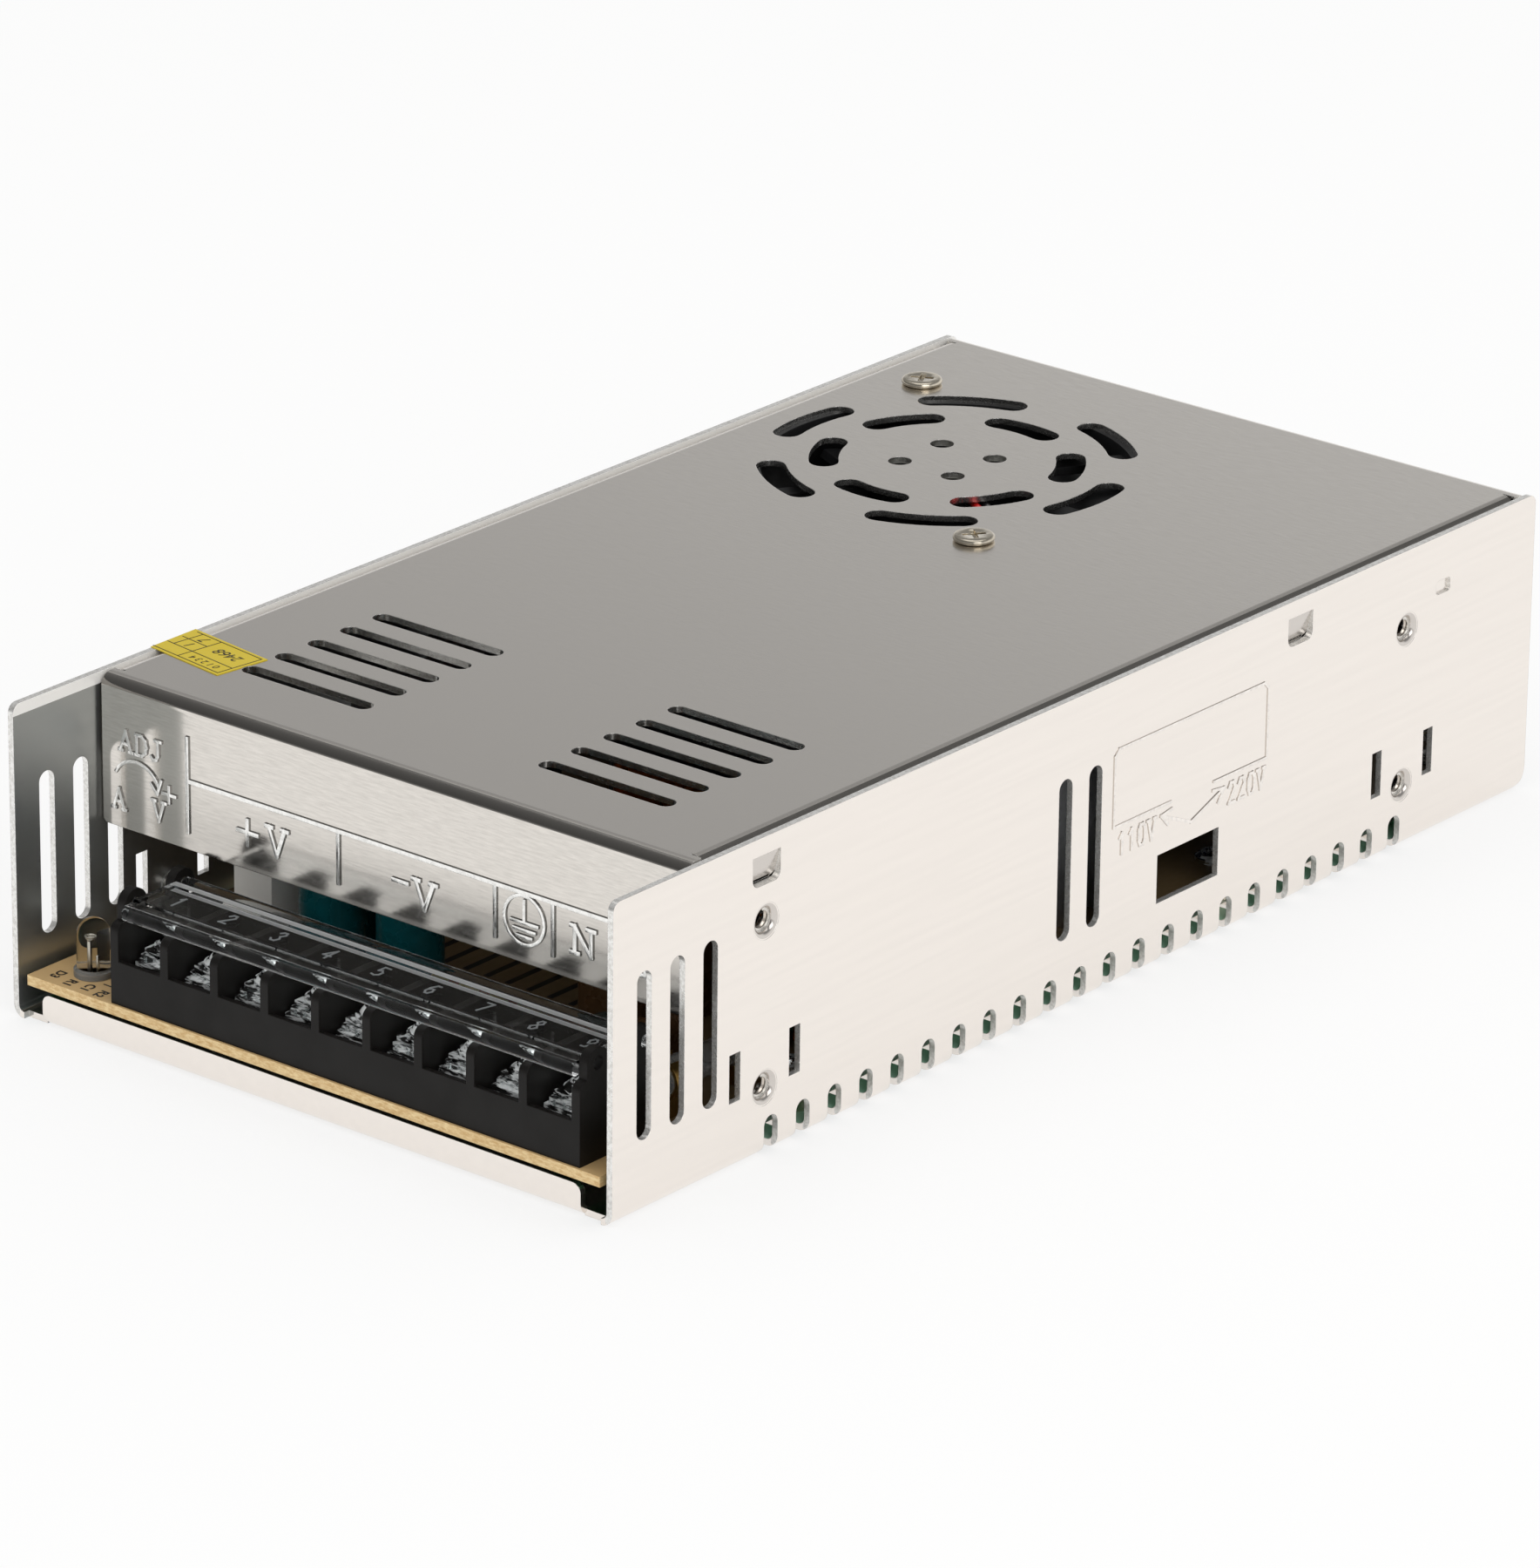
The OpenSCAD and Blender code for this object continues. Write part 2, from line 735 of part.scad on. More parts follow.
// Flat-head screws, flush with the cover's rear wall
module cover_screws() {
    len = 4;
    recess = 0.6 * sheet_t;
    recess_w = 0.7;
    color("darkgray") cover_screws_at(cover_rear) difference() {
        union() {
            translate([0, 0, -sheet_t]) cylinder(r1 = screw_m3_r, r2 = flat_head_r, h = sheet_t);
            translate([0, 0, -len]) cylinder(r = screw_m3_r, h = len - sheet_t + tiny);
        }
        for (a = [0, 90])
            rotate(a) translate([-0.6 * flat_head_r, -recess_w / 2, -recess])
                cube([1.2 * flat_head_r, recess_w, recess + past]);
    }
}

// Paper seal, stuck on the cover a little askew and folded down the left wall
module seal_label() {
    half = label_size[1] / 2;
    along = [cos(label_angle), sin(label_angle)];
    across = [-sin(label_angle), cos(label_angle)];
    edge = half / cos(label_angle);
    slip = label_drop * tan(label_angle);
    color("gold") translate([-case_w / 2, label_y, case_h]) {
        linear_extrude(label_t) polygon([
            [-label_t, -edge], label_size[0] * along - half * across,
            label_size[0] * along + half * across, [-label_t, edge]
        ]);
        translate([-label_t / 2, 0, 0]) along_x(label_t) polygon([
            [-edge, label_t], [edge, label_t], [edge - slip, -label_drop], [-edge - slip, -label_drop]
        ]);
    }
}

// Fan

module fan_frame() {
    mid = fan_depth - 2 * fan_flange_t;
    color("#1c1c1e") translate([fan_mid_x, fan_y, 0]) {
        difference() {
            translate([0, 0, fan_z]) union() {
                for (z = [0, fan_depth - fan_flange_t])
                    translate([0, 0, z]) linear_extrude(fan_flange_t) rounded_rect(fan_size, fan_size, 3);
                translate([0, 0, fan_flange_t - tiny]) cylinder(r = fan_size / 2 - 0.1, h = mid + 2 * tiny);
            }
            translate([0, 0, fan_z - past]) cylinder(r = duct_r, h = fan_depth + 2 * past);
            for (x = [-1, 1], y = [-1, 1])
                translate([x * fan_hole_pitch / 2, y * fan_hole_pitch / 2, fan_z - past])
                    cylinder(r = fan_hole_r, h = fan_depth + 2 * past);
            // The leads leave through a notch in the upper flange
            rotate(spoke_angle) translate([duct_r - 2, -2 * lead_d, spider_top - 0.2])
                cube([fan_size / 2, 4 * lead_d, past + roof_in - spider_top]);
        }
        difference() {
            union() {
                translate([0, 0, spider_low]) cylinder(r = hub_r, h = spider_t);
                for (a = [0 : 90 : 270])
                    rotate(spoke_angle + a) translate([0, -spoke_w / 2, spider_low])
                        cube([duct_r + 0.5, spoke_w, spider_t]);
                translate([0, 0, rotor_low + 2.5]) cylinder(r = boss_r, h = spider_low - rotor_low - 2.4);
            }
            translate([0, 0, rotor_low]) cylinder(r = bearing_r, h = spider_low - rotor_low);
        }
    }
}

module fan_bearing() {
    low = rotor_low + 2.5;
    color("darkgoldenrod") translate([fan_mid_x, fan_y, low]) difference() {
        cylinder(r = bearing_r, h = spider_low - low);
        translate([0, 0, -past]) cylinder(r = shaft_r + shaft_play, h = spider_low - low + 2 * past);
    }
}

module fan_stator() {
    low = rotor_low + 3.2;
    tall = rotor_top - low - 1;
    pole_w = 5;
    color("saddlebrown") translate([fan_mid_x, fan_y, low]) difference() {
        union() {
            cylinder(r = 0.6 * stator_r, h = tall);
            intersection() {
                cylinder(r = stator_r, h = tall);
                for (a = [0, 90])
                    rotate(a) translate([-stator_r, -pole_w / 2, 0]) cube([2 * stator_r, pole_w, tall]);
            }
        }
        translate([0, 0, -past]) cylinder(r = boss_r + stator_fit, h = tall + 2 * past);
    }
}

// One blade: a strip of a curved shell, pitched about the radial line
module blade() {
    tall = rotor_top - rotor_low - 1;
    intersection() {
        difference() {
            cylinder(r = blade_tip_r, h = tall);
            translate([0, 0, -past]) cylinder(r = hub_r - hub_wall / 2, h = tall + 2 * past);
        }
        translate([0, 0, tall / 2]) rotate([blade_pitch, 0, 0])
            translate([hub_r - hub_wall, 0, -blade_curve_r])
            rotate([0, 90, 0]) intersection() {
                difference() {
                    cylinder(r = blade_curve_r + blade_t / 2, h = blade_tip_r);
                    translate([0, 0, -past])
                        cylinder(r = blade_curve_r - blade_t / 2, h = blade_tip_r + 2 * past);
                }
                translate([-2 * blade_curve_r, -9, 0]) cube([2 * blade_curve_r, 18, blade_tip_r]);
            }
    }
}

module fan_rotor() {
    tall = rotor_top - rotor_low;
    color("#262628") translate([fan_mid_x, fan_y, rotor_low]) {
        difference() {
            cylinder(r = hub_r, h = tall);
            translate([0, 0, hub_wall]) cylinder(r = hub_r - hub_wall, h = tall);
        }
        cylinder(r = shaft_r, h = spider_low - rotor_low - 0.6);
        for (i = [0 : blade_n - 1])
            rotate(360 * i / blade_n) translate([0, 0, 0.5]) blade();
    }
}

module fan_screws() {
    color("silver") fan_screws_at(case_h) pan_screw(fan_screw_len, screw_m3_r, pan_head_r, pan_head_h);
}

module fan_nuts() {
    color("silver") fan_screws_at(roof_in - fan_flange_t - nut_h) difference() {
        cylinder(r = nut_r, h = nut_h, $fn = 6);
        translate([0, 0, -past]) cylinder(r = screw_m3_r + tiny, h = nut_h + 2 * past);
    }
}

// Lead route from the fan's hub along a spoke, over the frame and down to the plug
spoke_dir = [cos(spoke_angle), sin(spoke_angle), 0];
spoke_side = [-sin(spoke_angle), cos(spoke_angle), 0];
lead_z = spider_top + lead_d / 2 + 0.05;
plug_top = board_top + header_size[2] + plug_size[2];
lead_turn_r = 4;

function lead_path(off) =
    let (
        hub = [fan_mid_x, fan_y, lead_z] + off * spoke_side,
        edge = fan_size / 2 / cos(spoke_angle) + 3,
        end = [header_at[0], header_at[1], plug_top] + off * [0, 1, 0],
        drop = [end[0], end[1], lead_z - 2 * lead_turn_r]
    ) concat(
        [for (r = [9 : 4 : edge]) hub + r * spoke_dir],
        [for (a = [30 : 30 : 90]) let (over = hub + edge * spoke_dir)
            over + [(drop - over)[0], (drop - over)[1], 0] * sin(a) - [0, 0, 2 * lead_turn_r * (1 - cos(a))]],
        [for (k = [1 : 5]) drop + k / 5 * (end - drop)]
    );

module fan_lead(off) {
    path = lead_path(off);
    wire(path, [for (p = path) spoke_side], lead_d / 2);
}

module fan_lead_red() {
    color("crimson") fan_lead(-0.75);
}

module fan_lead_black() {
    color("#202020") fan_lead(0.75);
}

module fan_header() {
    wall = 0.8;
    color("ivory") difference() {
        block_at(header_at, header_size);
        block_at(header_at, header_size - [2 * wall, 2 * wall, 0], board_top + 1.2);
    }
}

module fan_plug() {
    wall = 0.9;
    skirt = header_size - [2 * wall, 2 * wall, 1.2];
    color("white") {
        block_at(header_at, skirt + [0, 0, tiny], board_top + 1.2);
        block_at(header_at, plug_size, board_top + header_size[2]);
    }
}

// Board

module circuit_board() {
    color("tan") difference() {
        translate([-board_half, board_front, board_low])
            cube([2 * board_half, board_rear - board_front, board_t]);
        for (p = board_screws_at)
            translate([p[0], p[1], board_low - past])
                cylinder(r = screw_m3_r + screw_play, h = board_t + 2 * past);
    }
}

module board_standoffs() {
    color("silver") for (p = board_screws_at)
        translate([p[0], p[1], sheet_t]) difference() {
            cylinder(r = standoff_r, h = standoff_h, $fn = 6);
            translate([0, 0, standoff_h - board_screw_len + board_t])
                cylinder(r = screw_m3_r + tiny, h = board_screw_len);
        }
}

module board_screws() {
    len = board_screw_len - 0.4;
    color("silver") for (p = board_screws_at)
        translate([p[0], p[1], board_top]) pan_screw(len, screw_m3_r, board_screw_head_r, 1.8);
}

// Terminal block

module poles_at(z) {
    for (i = [0 : pole_n - 1])
        translate([block_mid + (i - (pole_n - 1) / 2) * pitch, pole_y, z]) children();
}

module barrier_shape() {
    difference() {
        translate([block_front, board_top]) square([block_d, barrier_h]);
        translate([block_front, barrier_top]) mirror([0, 1]) corner_waste(barrier_round);
    }
}

module ear_shape(y) {
    translate([y - ear_r, base_top]) square([2 * ear_r, pivot_z - base_top]);
    translate([y, pivot_z]) circle(ear_r);
}

module terminal_block() {
    rear_wall_t = 1.5;
    color("#2b2a2b") difference() {
        translate([block_mid, 0, 0]) union() {
            translate([-block_w / 2, block_front, board_top])
                cube([block_w, block_d, base_top - board_top]);
            translate([-block_w / 2, block_front, board_top]) cube([block_w, sill_t, block_base_h]);
            translate([-block_w / 2, block_rear - rear_wall_t, board_top])
                cube([block_w, rear_wall_t, barrier_h]);
            for (i = [0 : pole_n])
                translate([(i - pole_n / 2) * pitch, 0, 0]) along_x(barrier_t) barrier_shape();
            for (s = [-1, 1])
                translate([s * pole_n * pitch / 2, 0, 0]) along_x(barrier_t) {
                    ear_shape(front_ear_y);
                    ear_shape(pivot_y);
                }
        }
        for (y = [front_ear_y, pivot_y])
            translate([block_mid, y, pivot_z]) rotate([0, 90, 0])
                cylinder(r = ear_hole_r, h = block_w + 2 * past, center = true);
        poles_at(base_top - terminal_shank_len)
            cylinder(r = terminal_shank_r + tiny, h = terminal_shank_len + past);
    }
}

module terminal_contacts() {
    color("lightgray") poles_at(base_top) difference() {
        translate([-contact_size[0] / 2, -contact_size[1] / 2, 0])
            cube([contact_size[0], contact_size[1], contact_t]);
        translate([0, 0, -past]) cylinder(r = terminal_shank_r + screw_play, h = contact_t + 2 * past);
    }
}

// Wire clamp of two stacked plates on a collar; the lower one is notched along its front and rear
module terminal_clamps() {
    upper = clamp_size - 2 * [clamp_step, clamp_step];
    notch_pitch = clamp_size[0] / clamp_notch_n;
    color("silver") poles_at(contact_top) difference() {
        union() {
            block_at([0, 0], [clamp_size[0], clamp_size[1], clamp_plate_t], 0);
            cylinder(r = terminal_shank_r + 0.8, h = clamp_t);
            block_at([0, 0], [upper[0], upper[1], clamp_plate_t], clamp_plate_t + clamp_slit);
        }
        translate([0, 0, -past]) cylinder(r = terminal_shank_r + screw_play, h = clamp_t + 2 * past);
        for (s = [-1, 1], i = [0 : clamp_notch_n - 1])
            translate([(i - (clamp_notch_n - 1) / 2) * notch_pitch, s * clamp_size[1] / 2, 0])
                cube([clamp_notch[0], 2 * clamp_notch[1], 2 * clamp_notch[1]], center = true);
    }
}

// Screw with a flange that slopes up to its domed head
module terminal_screws() {
    len = terminal_shank_len + contact_t + clamp_t - 0.4;
    head_r = 0.78 * terminal_head_r;
    slope = 0.4;
    color("silver") poles_at(clamp_top) difference() {
        union() {
            cylinder(r = terminal_head_r, h = terminal_flange_t);
            translate([0, 0, terminal_flange_t - tiny])
                cylinder(r1 = 0.94 * terminal_head_r, r2 = head_r, h = slope);
            dome_head(head_r, terminal_head_h);
            translate([0, 0, -len]) cylinder(r = terminal_shank_r, h = len + tiny);
        }
        cross_recess(head_r, terminal_head_h, 1.2);
    }
}

module clear_profile() {
    rib = [1.2, 0.4];
    bead_r = 0.95;
    translate([clear_front + bead_r, clear_top - clear_t])
        square([clear_rear - clear_front - bead_r - pivot_r, clear_t]);
    translate([clear_front + bead_r, clear_top - skirt_h + bead_r]) circle(bead_r);
    translate([clear_front + 2 * bead_r - skirt_t, clear_top - skirt_h + bead_r])
        square([skirt_t, skirt_h - bead_r]);
    translate([clear_front + 3, clear_top - 0.1]) circle(0.5);
    translate([clear_rear - 3.9, clear_top - tiny]) square([rib[0], rib[1] + tiny]);
}

module terminal_cover() {
    end_rib = [0.9, 0.4];
    color([0.85, 0.9, 0.95, 0.4]) {
        translate([block_mid, 0, 0]) along_x(clear_w) clear_profile();
        translate([block_mid, 0, 0]) both_sides()
            translate([clear_w / 2 - end_rib[0], clear_front + 3, clear_top - tiny])
                cube([end_rib[0], clear_rear - clear_front - 6, end_rib[1]]);
        translate([block_mid, pivot_y, pivot_z]) rotate([0, 90, 0]) {
            cylinder(r = barrel_r, h = clear_w, center = true);
            cylinder(r = pivot_r, h = clear_w + 2 * (clear_gap + barrier_t), center = true);
        }
    }
}

// Lamp and trimmer

module power_lamp() {
    r = led_d / 2;
    color([0.9, 0.9, 0.85, 0.5]) translate([led_at[0], led_at[1], board_top]) {
        cylinder(r = r + led_rim, h = led_rim_h);
        cylinder(r = r, h = led_h - r);
        translate([0, 0, led_h - r]) sphere(r);
    }
}

module trimmer_body() {
    color("#1d1d1f") difference() {
        block_at(trimmer_at, [trimmer_w, trimmer_w, trimmer_h]);
        translate([trimmer_at[0], trimmer_at[1], board_top + trimmer_h - 1.2])
            cylinder(r = trimmer_rotor_r + 0.2, h = 1.2 + past);
        translate([trimmer_at[0], trimmer_at[1], board_top + 1])
            cylinder(r = trimmer_pin_r + 0.05, h = trimmer_h);
    }
}

module trimmer_rotor() {
    disc_h = 1.4;
    slot = [3.6, 0.8];
    top = board_top + trimmer_h + 0.4;
    color("whitesmoke") translate([trimmer_at[0], trimmer_at[1], top]) difference() {
        union() {
            translate([0, 0, -disc_h]) cylinder(r = trimmer_rotor_r, h = disc_h);
            translate([0, 0, board_top + 1.2 - top]) cylinder(r = trimmer_pin_r, h = top - board_top - 1.2);
        }
        for (a = [0, 90])
            rotate(a) translate([-slot[0] / 2, -slot[1] / 2, -0.8]) cube([slot[0], slot[1], 0.8 + past]);
    }
}

// Output section

module load_resistor() {
    color("white") sized(load_resistor_at) difference() {
        block_at([0, 0], load_resistor_size, 0);
        for (i = [-1 : 1])
            translate([i * 2.2, 0, load_resistor_size[2]]) cube([0.5, 20, 1.2], center = true);
    }
}

// Can on its rubber seal, with the crimp groove and the scored top
module radial_can(d, h) {
    seal = 1.2;
    groove = 0.5;
    difference() {
        cylinder(d = d, h = h);
        translate([0, 0, seal]) rotate_extrude() translate([d / 2, 0]) circle(groove);
        for (a = [0, 90])
            rotate(a) translate([-0.3 * d, -0.15, h - 0.4]) cube([0.6 * d, 0.3, 1]);
    }
}

module output_capacitors() {
    color("teal") for (p = output_caps_at)
        sized(p) radial_can(output_cap_d, output_cap_h);
}

module toroid(at, r, bore_r, h, lift) {
    sized(at) translate([0, 0, lift]) difference() {
        cylinder(r = r, h = h);
        translate([0, 0, -past]) cylinder(r = bore_r, h = h + 2 * past);
    }
}

// Wire wound through a toroid: each turn is a rounded loop round the core's section
function wound_path(z, mid_r, half_w, half_h, turns, from, to, steps) =
    [for (i = [0 : turns * steps])
        let (
            a = from + (to - from) * i / (turns * steps),
            u = 360 * i / steps,
            grow = 1 / pow(pow(abs(cos(u)), 8) + pow(abs(sin(u)), 8), 0.125),
            r = mid_r + half_w * grow * cos(u)
        ) [r * cos(a), r * sin(a), z + half_h * grow * sin(u)]];

function wound_sides(path, from, to) =
    [for (i = [0 : len(path) - 1])
        let (a = from + (to - from) * i / (len(path) - 1))
            [-sin(a), cos(a), 0]];

module toroid_winding(at, r, bore_r, h, lift, wire_r, turns, from, to) {
    gap = wire_r + winding_gap;
    mid_r = (r + bore_r) / 2;
    path = wound_path(lift + h / 2, mid_r, (r - bore_r) / 2 + gap, h / 2 + gap, turns, from, to, 8);
    sized(at) wire(path, wound_sides(path, from, to), wire_r, 6);
}

choke_lift = 2 * choke_wire_r + winding_gap + 0.1;
line_choke_lift = 2 * line_choke_wire_r + winding_gap + 0.1;

module output_choke_core() {
    color("khaki") toroid(choke_at, choke_r, choke_bore_r, choke_h, choke_lift);
}

module output_choke_winding() {
    color("chocolate") toroid_winding(choke_at, choke_r, choke_bore_r, choke_h, choke_lift,
        choke_wire_r, choke_turns, 20, 340);
}

// Finned plate: the fins point to +x, the packages sit on the other face
module heatsink(at, flip) {
    sized(at) mirror([flip ? 1 : 0, 0, 0]) difference() {
        linear_extrude(heatsink_h) {
            translate([-heatsink_t, -heatsink_l / 2]) square([heatsink_t, heatsink_l]);
            for (i = [0 : fin_n - 1])
                translate([-tiny, -heatsink_l / 2 + i * (heatsink_l - fin_t) / (fin_n - 1)])
                    square([fin_l, fin_t]);
        }
        for (s = [-1, 1])
            translate([-heatsink_t - past, s * package_pitch / 2, package_hole_z + package_z])
                rotate([0, 90, 0]) cylinder(r = screw_m3_r + tiny, h = heatsink_t + past - 0.3);
    }
}

// Moulded power packages with their three legs, flat against the heatsink plate
module packages(at, flip) {
    leg_w = 1.2;
    leg_t = 0.6;
    leg_pitch = 5.4;
    sized(at) mirror([flip ? 1 : 0, 0, 0])
        for (s = [-1, 1]) {
            mid = s * package_pitch / 2;
            translate([-heatsink_t - package_size[0], mid - package_size[1] / 2, package_z]) difference() {
                cube(package_size);
                translate([-past, package_size[1] / 2, package_hole_z]) rotate([0, 90, 0])
                    cylinder(r = screw_m3_r + screw_play, h = package_size[0] + 2 * past);
            }
            for (i = [-1 : 1])
                translate([-heatsink_t - package_size[0] / 2, mid + i * leg_pitch - leg_w / 2, 0])
                    cube([leg_t, leg_w, package_z + tiny]);
        }
}

module package_screws(at, flip) {
    sized(at) translate([0, 0, package_z + package_hole_z]) mirror([flip ? 1 : 0, 0, 0])
        for (s = [-1, 1])
            translate([-heatsink_t - package_size[0], s * package_pitch / 2, 0]) rotate([0, -90, 0])
                pan_screw(package_size[0] + heatsink_t - 0.6, screw_m3_r, pan_head_r, pan_head_h);
}

module output_heatsink() {
    color("silver") heatsink(output_heatsink_at, true);
}

module input_heatsink() {
    color("silver") heatsink(input_heatsink_at, false);
}

module output_rectifiers() {
    color("#232325") packages(output_heatsink_at, true);
}

module switching_transistors() {
    color("#232325") packages(input_heatsink_at, false);
}

module heatsink_screws() {
    color("lightgray") {
        package_screws(output_heatsink_at, true);
        package_screws(input_heatsink_at, false);
    }
}

// Transformers: size is core width, depth, height, leg, window and base height

module transformer_core(at, size) {
    window = [size[4], size[1] + 2 * past, size[2] - size[3]];
    sized(at) translate([0, 0, size[5]]) difference() {
        translate([-size[0] / 2, -size[1] / 2, 0]) cube([size[0], size[1], size[2]]);
        for (s = [-1, 1])
            translate([s * (size[3] + size[4]) / 2 - window[0] / 2, -window[1] / 2, size[3] / 2])
                cube(window);
    }
}

// Winding former: a base, a sleeve on the middle leg and two flanges, clear of the core all round
module transformer_bobbin(at, size) {
    fit = 0.2;
    flange_t = 1;
    wide = size[3] + 2 * size[4] - 2 * fit;
    deep = size[1] + 2 * size[4] - 2 * fit;
    low = size[5] + size[3] / 2 + fit;
    high = size[5] + size[2] - size[3] / 2 - fit;
    sleeve = [size[3] + 4 * fit + 2 * flange_t, size[1] + 4 * fit + 2 * flange_t, high - low];
    sized(at) difference() {
        union() {
            block_at([0, 0], [wide, deep, low + tiny], 0);
            for (z = [low, high - flange_t])
                block_at([0, 0], [wide, deep, flange_t], z);
            block_at([0, 0], sleeve, low);
        }
        block_at([0, 0], [2 * size[0], size[1] + 2 * fit, low - size[5]], size[5]);
        block_at([0, 0], [size[3] + 2 * fit, size[1] + 2 * fit, high - low + 2], low - 1);
    }
}

module transformer_winding(at, size) {
    fit = 0.2;
    flange_t = 1;
    round = 3 * size[3] / 10;
    wall = flange_t + 2 * fit;
    low = size[5] + size[3] / 2 + fit + flange_t + 0.1;
    high = size[5] + size[2] - size[3] / 2 - fit - flange_t - 0.1;
    sized(at) translate([0, 0, low]) linear_extrude(high - low) difference() {
        rounded_rect(size[3] + 2 * size[4] - 1, size[1] + 2 * size[4] - 1, round);
        square([size[3] + 2 * wall + 0.1, size[1] + 2 * wall + 0.1], center = true);
    }
}

module main_transformer_core() {
    color("#3c3c40") transformer_core(main_at, main_core);
}

module main_transformer_bobbin() {
    color("#2e2e30") transformer_bobbin(main_at, main_core);
}

module main_transformer_winding() {
    color("peru") transformer_winding(main_at, main_core);
}

module driver_transformer_core() {
    color("#3c3c40") transformer_core(driver_at, driver_core);
}

module driver_transformer_bobbin() {
    color("#2e2e30") transformer_bobbin(driver_at, driver_core);
}

module driver_transformer_winding() {
    color("goldenrod") transformer_winding(driver_at, driver_core);
}

// Input section

module bulk_capacitors() {
    color("#25303c") for (p = bulk_caps_at)
        sized(p) radial_can(bulk_cap_d, bulk_cap_h);
}

module bridge_rectifier() {
    lead = 0.9;
    chamfer = 4;
    color("#1f1f21") sized(bridge_at) {
        translate([0, 0, 4]) along_x(bridge_size[0])
            polygon([
                [-bridge_size[1] / 2, 0], [bridge_size[1] / 2, 0], [bridge_size[1] / 2, bridge_size[2]],
                [-bridge_size[1] / 2 + chamfer, bridge_size[2]],
                [-bridge_size[1] / 2, bridge_size[2] - chamfer]
            ]);
        for (i = [0 : 3])
            translate([0, (i - 1.5) * 5.1, 2 + tiny])
                cube([lead, lead, 4 + 2 * tiny], center = true);
    }
}

module line_choke_core() {
    color("#2f4a38") toroid(line_choke_at, line_choke_r, line_choke_bore_r, line_choke_h, line_choke_lift);
}

module line_choke_winding() {
    color("chocolate") for (from = [20, 200])
        toroid_winding(line_choke_at, line_choke_r, line_choke_bore_r, line_choke_h, line_choke_lift,
            line_choke_wire_r, line_choke_turns, from, from + 140);
}

module line_capacitor() {
    color("saddlebrown") sized(line_cap_at)
        linear_extrude(line_cap_size[2]) rounded_rect(line_cap_size[0], line_cap_size[1], 0.8);
}

// Dipped disc standing on its rim, with its coated legs
module standing_disc(at, d, t) {
    leg = 0.8;
    sized(at) {
        translate([0, 0, d / 2 + 1]) rotate([90, 0, 0]) {
            cylinder(d = d, h = 0.6 * t, center = true);
            cylinder(d = 0.8 * d, h = t, center = true);
        }
        for (s = [-1, 1])
            translate([s * 0.3 * d - leg / 2, -leg / 2, 0]) cube([leg, leg, d / 2]);
    }
}

module safety_capacitors() {
    color("saddlebrown") for (p = safety_cap_at)
        standing_disc(p, safety_cap_d, safety_cap_t);
}

module inrush_thermistor() {
    color("#2a2d2a") standing_disc(thermistor_at, thermistor_d, thermistor_t);
}

module fuse() {
    color("whitesmoke") sized(fuse_at) translate([0, 0, fuse_axis_h]) rotate([90, 0, 0]) {
        cylinder(r = fuse_r - 0.25, h = fuse_l, center = true);
        for (s = [-1, 1])
            translate([0, 0, s * (fuse_l - fuse_cap_l) / 2])
                cylinder(r = fuse_r, h = fuse_cap_l, center = true);
    }
}

module fuse_clips() {
    wide = fuse_cap_l - 0.6;
    grip = 0.05;
    outer = fuse_r + grip + clip_t;
    color("goldenrod") for (s = [-1, 1])
        sized(fuse_at) translate([0, s * (fuse_l - fuse_cap_l) / 2, 0]) difference() {
            union() {
                translate([0, 0, fuse_axis_h]) rotate([90, 0, 0])
                    cylinder(r = outer, h = wide, center = true);
                translate([-outer / 2, -wide / 2, 0]) cube([outer, wide, fuse_axis_h]);
            }
            translate([0, 0, fuse_axis_h]) rotate([90, 0, 0])
                cylinder(r = fuse_r + grip, h = wide + 2 * past, center = true);
            translate([-0.6 * fuse_r, -wide, fuse_axis_h]) cube([1.2 * fuse_r, 2 * wide, 2 * fuse_r + past]);
        }
}

// Control section

module coupling_capacitor() {
    color("firebrick") sized(coupling_cap_at)
        linear_extrude(coupling_cap_size[2]) rounded_rect(coupling_cap_size[0], coupling_cap_size[1], 1.5);
}

module control_chip() {
    pin_n = 8;
    pin_pitch = 2.3;
    pin = [0.5, 1, 2];
    color("#1b1b1d") sized(chip_at) {
        difference() {
            translate([-chip_size[0] / 2, -chip_size[1] / 2, chip_stand]) cube(chip_size);
            translate([0, -chip_size[1] / 2, chip_stand + chip_size[2]]) sphere(r = 1);
        }
        for (s = [-1, 1], i = [0 : pin_n - 1])
            translate([s * ((chip_size[0] + pin[0]) / 2 - tiny), (i - (pin_n - 1) / 2) * pin_pitch, pin[2] / 2])
                cube(pin, center = true);
    }
}

module small_capacitors() {
    color("#28324a") for (p = small_caps_at)
        sized(p) radial_can(small_cap_d, small_cap_h);
}

// Axial resistors lying in a row, with waisted bodies and bent leads
module small_resistors() {
    lead_r = 0.35;
    lift = resistor_r + 0.2;
    color("burlywood") for (i = [0 : resistor_n - 1])
        sized(resistor_row_at) translate([0, i * resistor_pitch, lift]) {
            rotate([0, 90, 0]) {
                cylinder(r = 0.8 * resistor_r, h = resistor_l, center = true);
                for (s = [-1, 1])
                    translate([0, 0, s * (resistor_l / 2 - 0.8)])
                        cylinder(r = resistor_r, h = 1.6, center = true);
                cylinder(r = lead_r, h = resistor_span, center = true);
            }
            for (s = [-1, 1])
                translate([s * resistor_span / 2, 0, -lift]) cylinder(r = lead_r, h = lift + lead_r);
        }
}

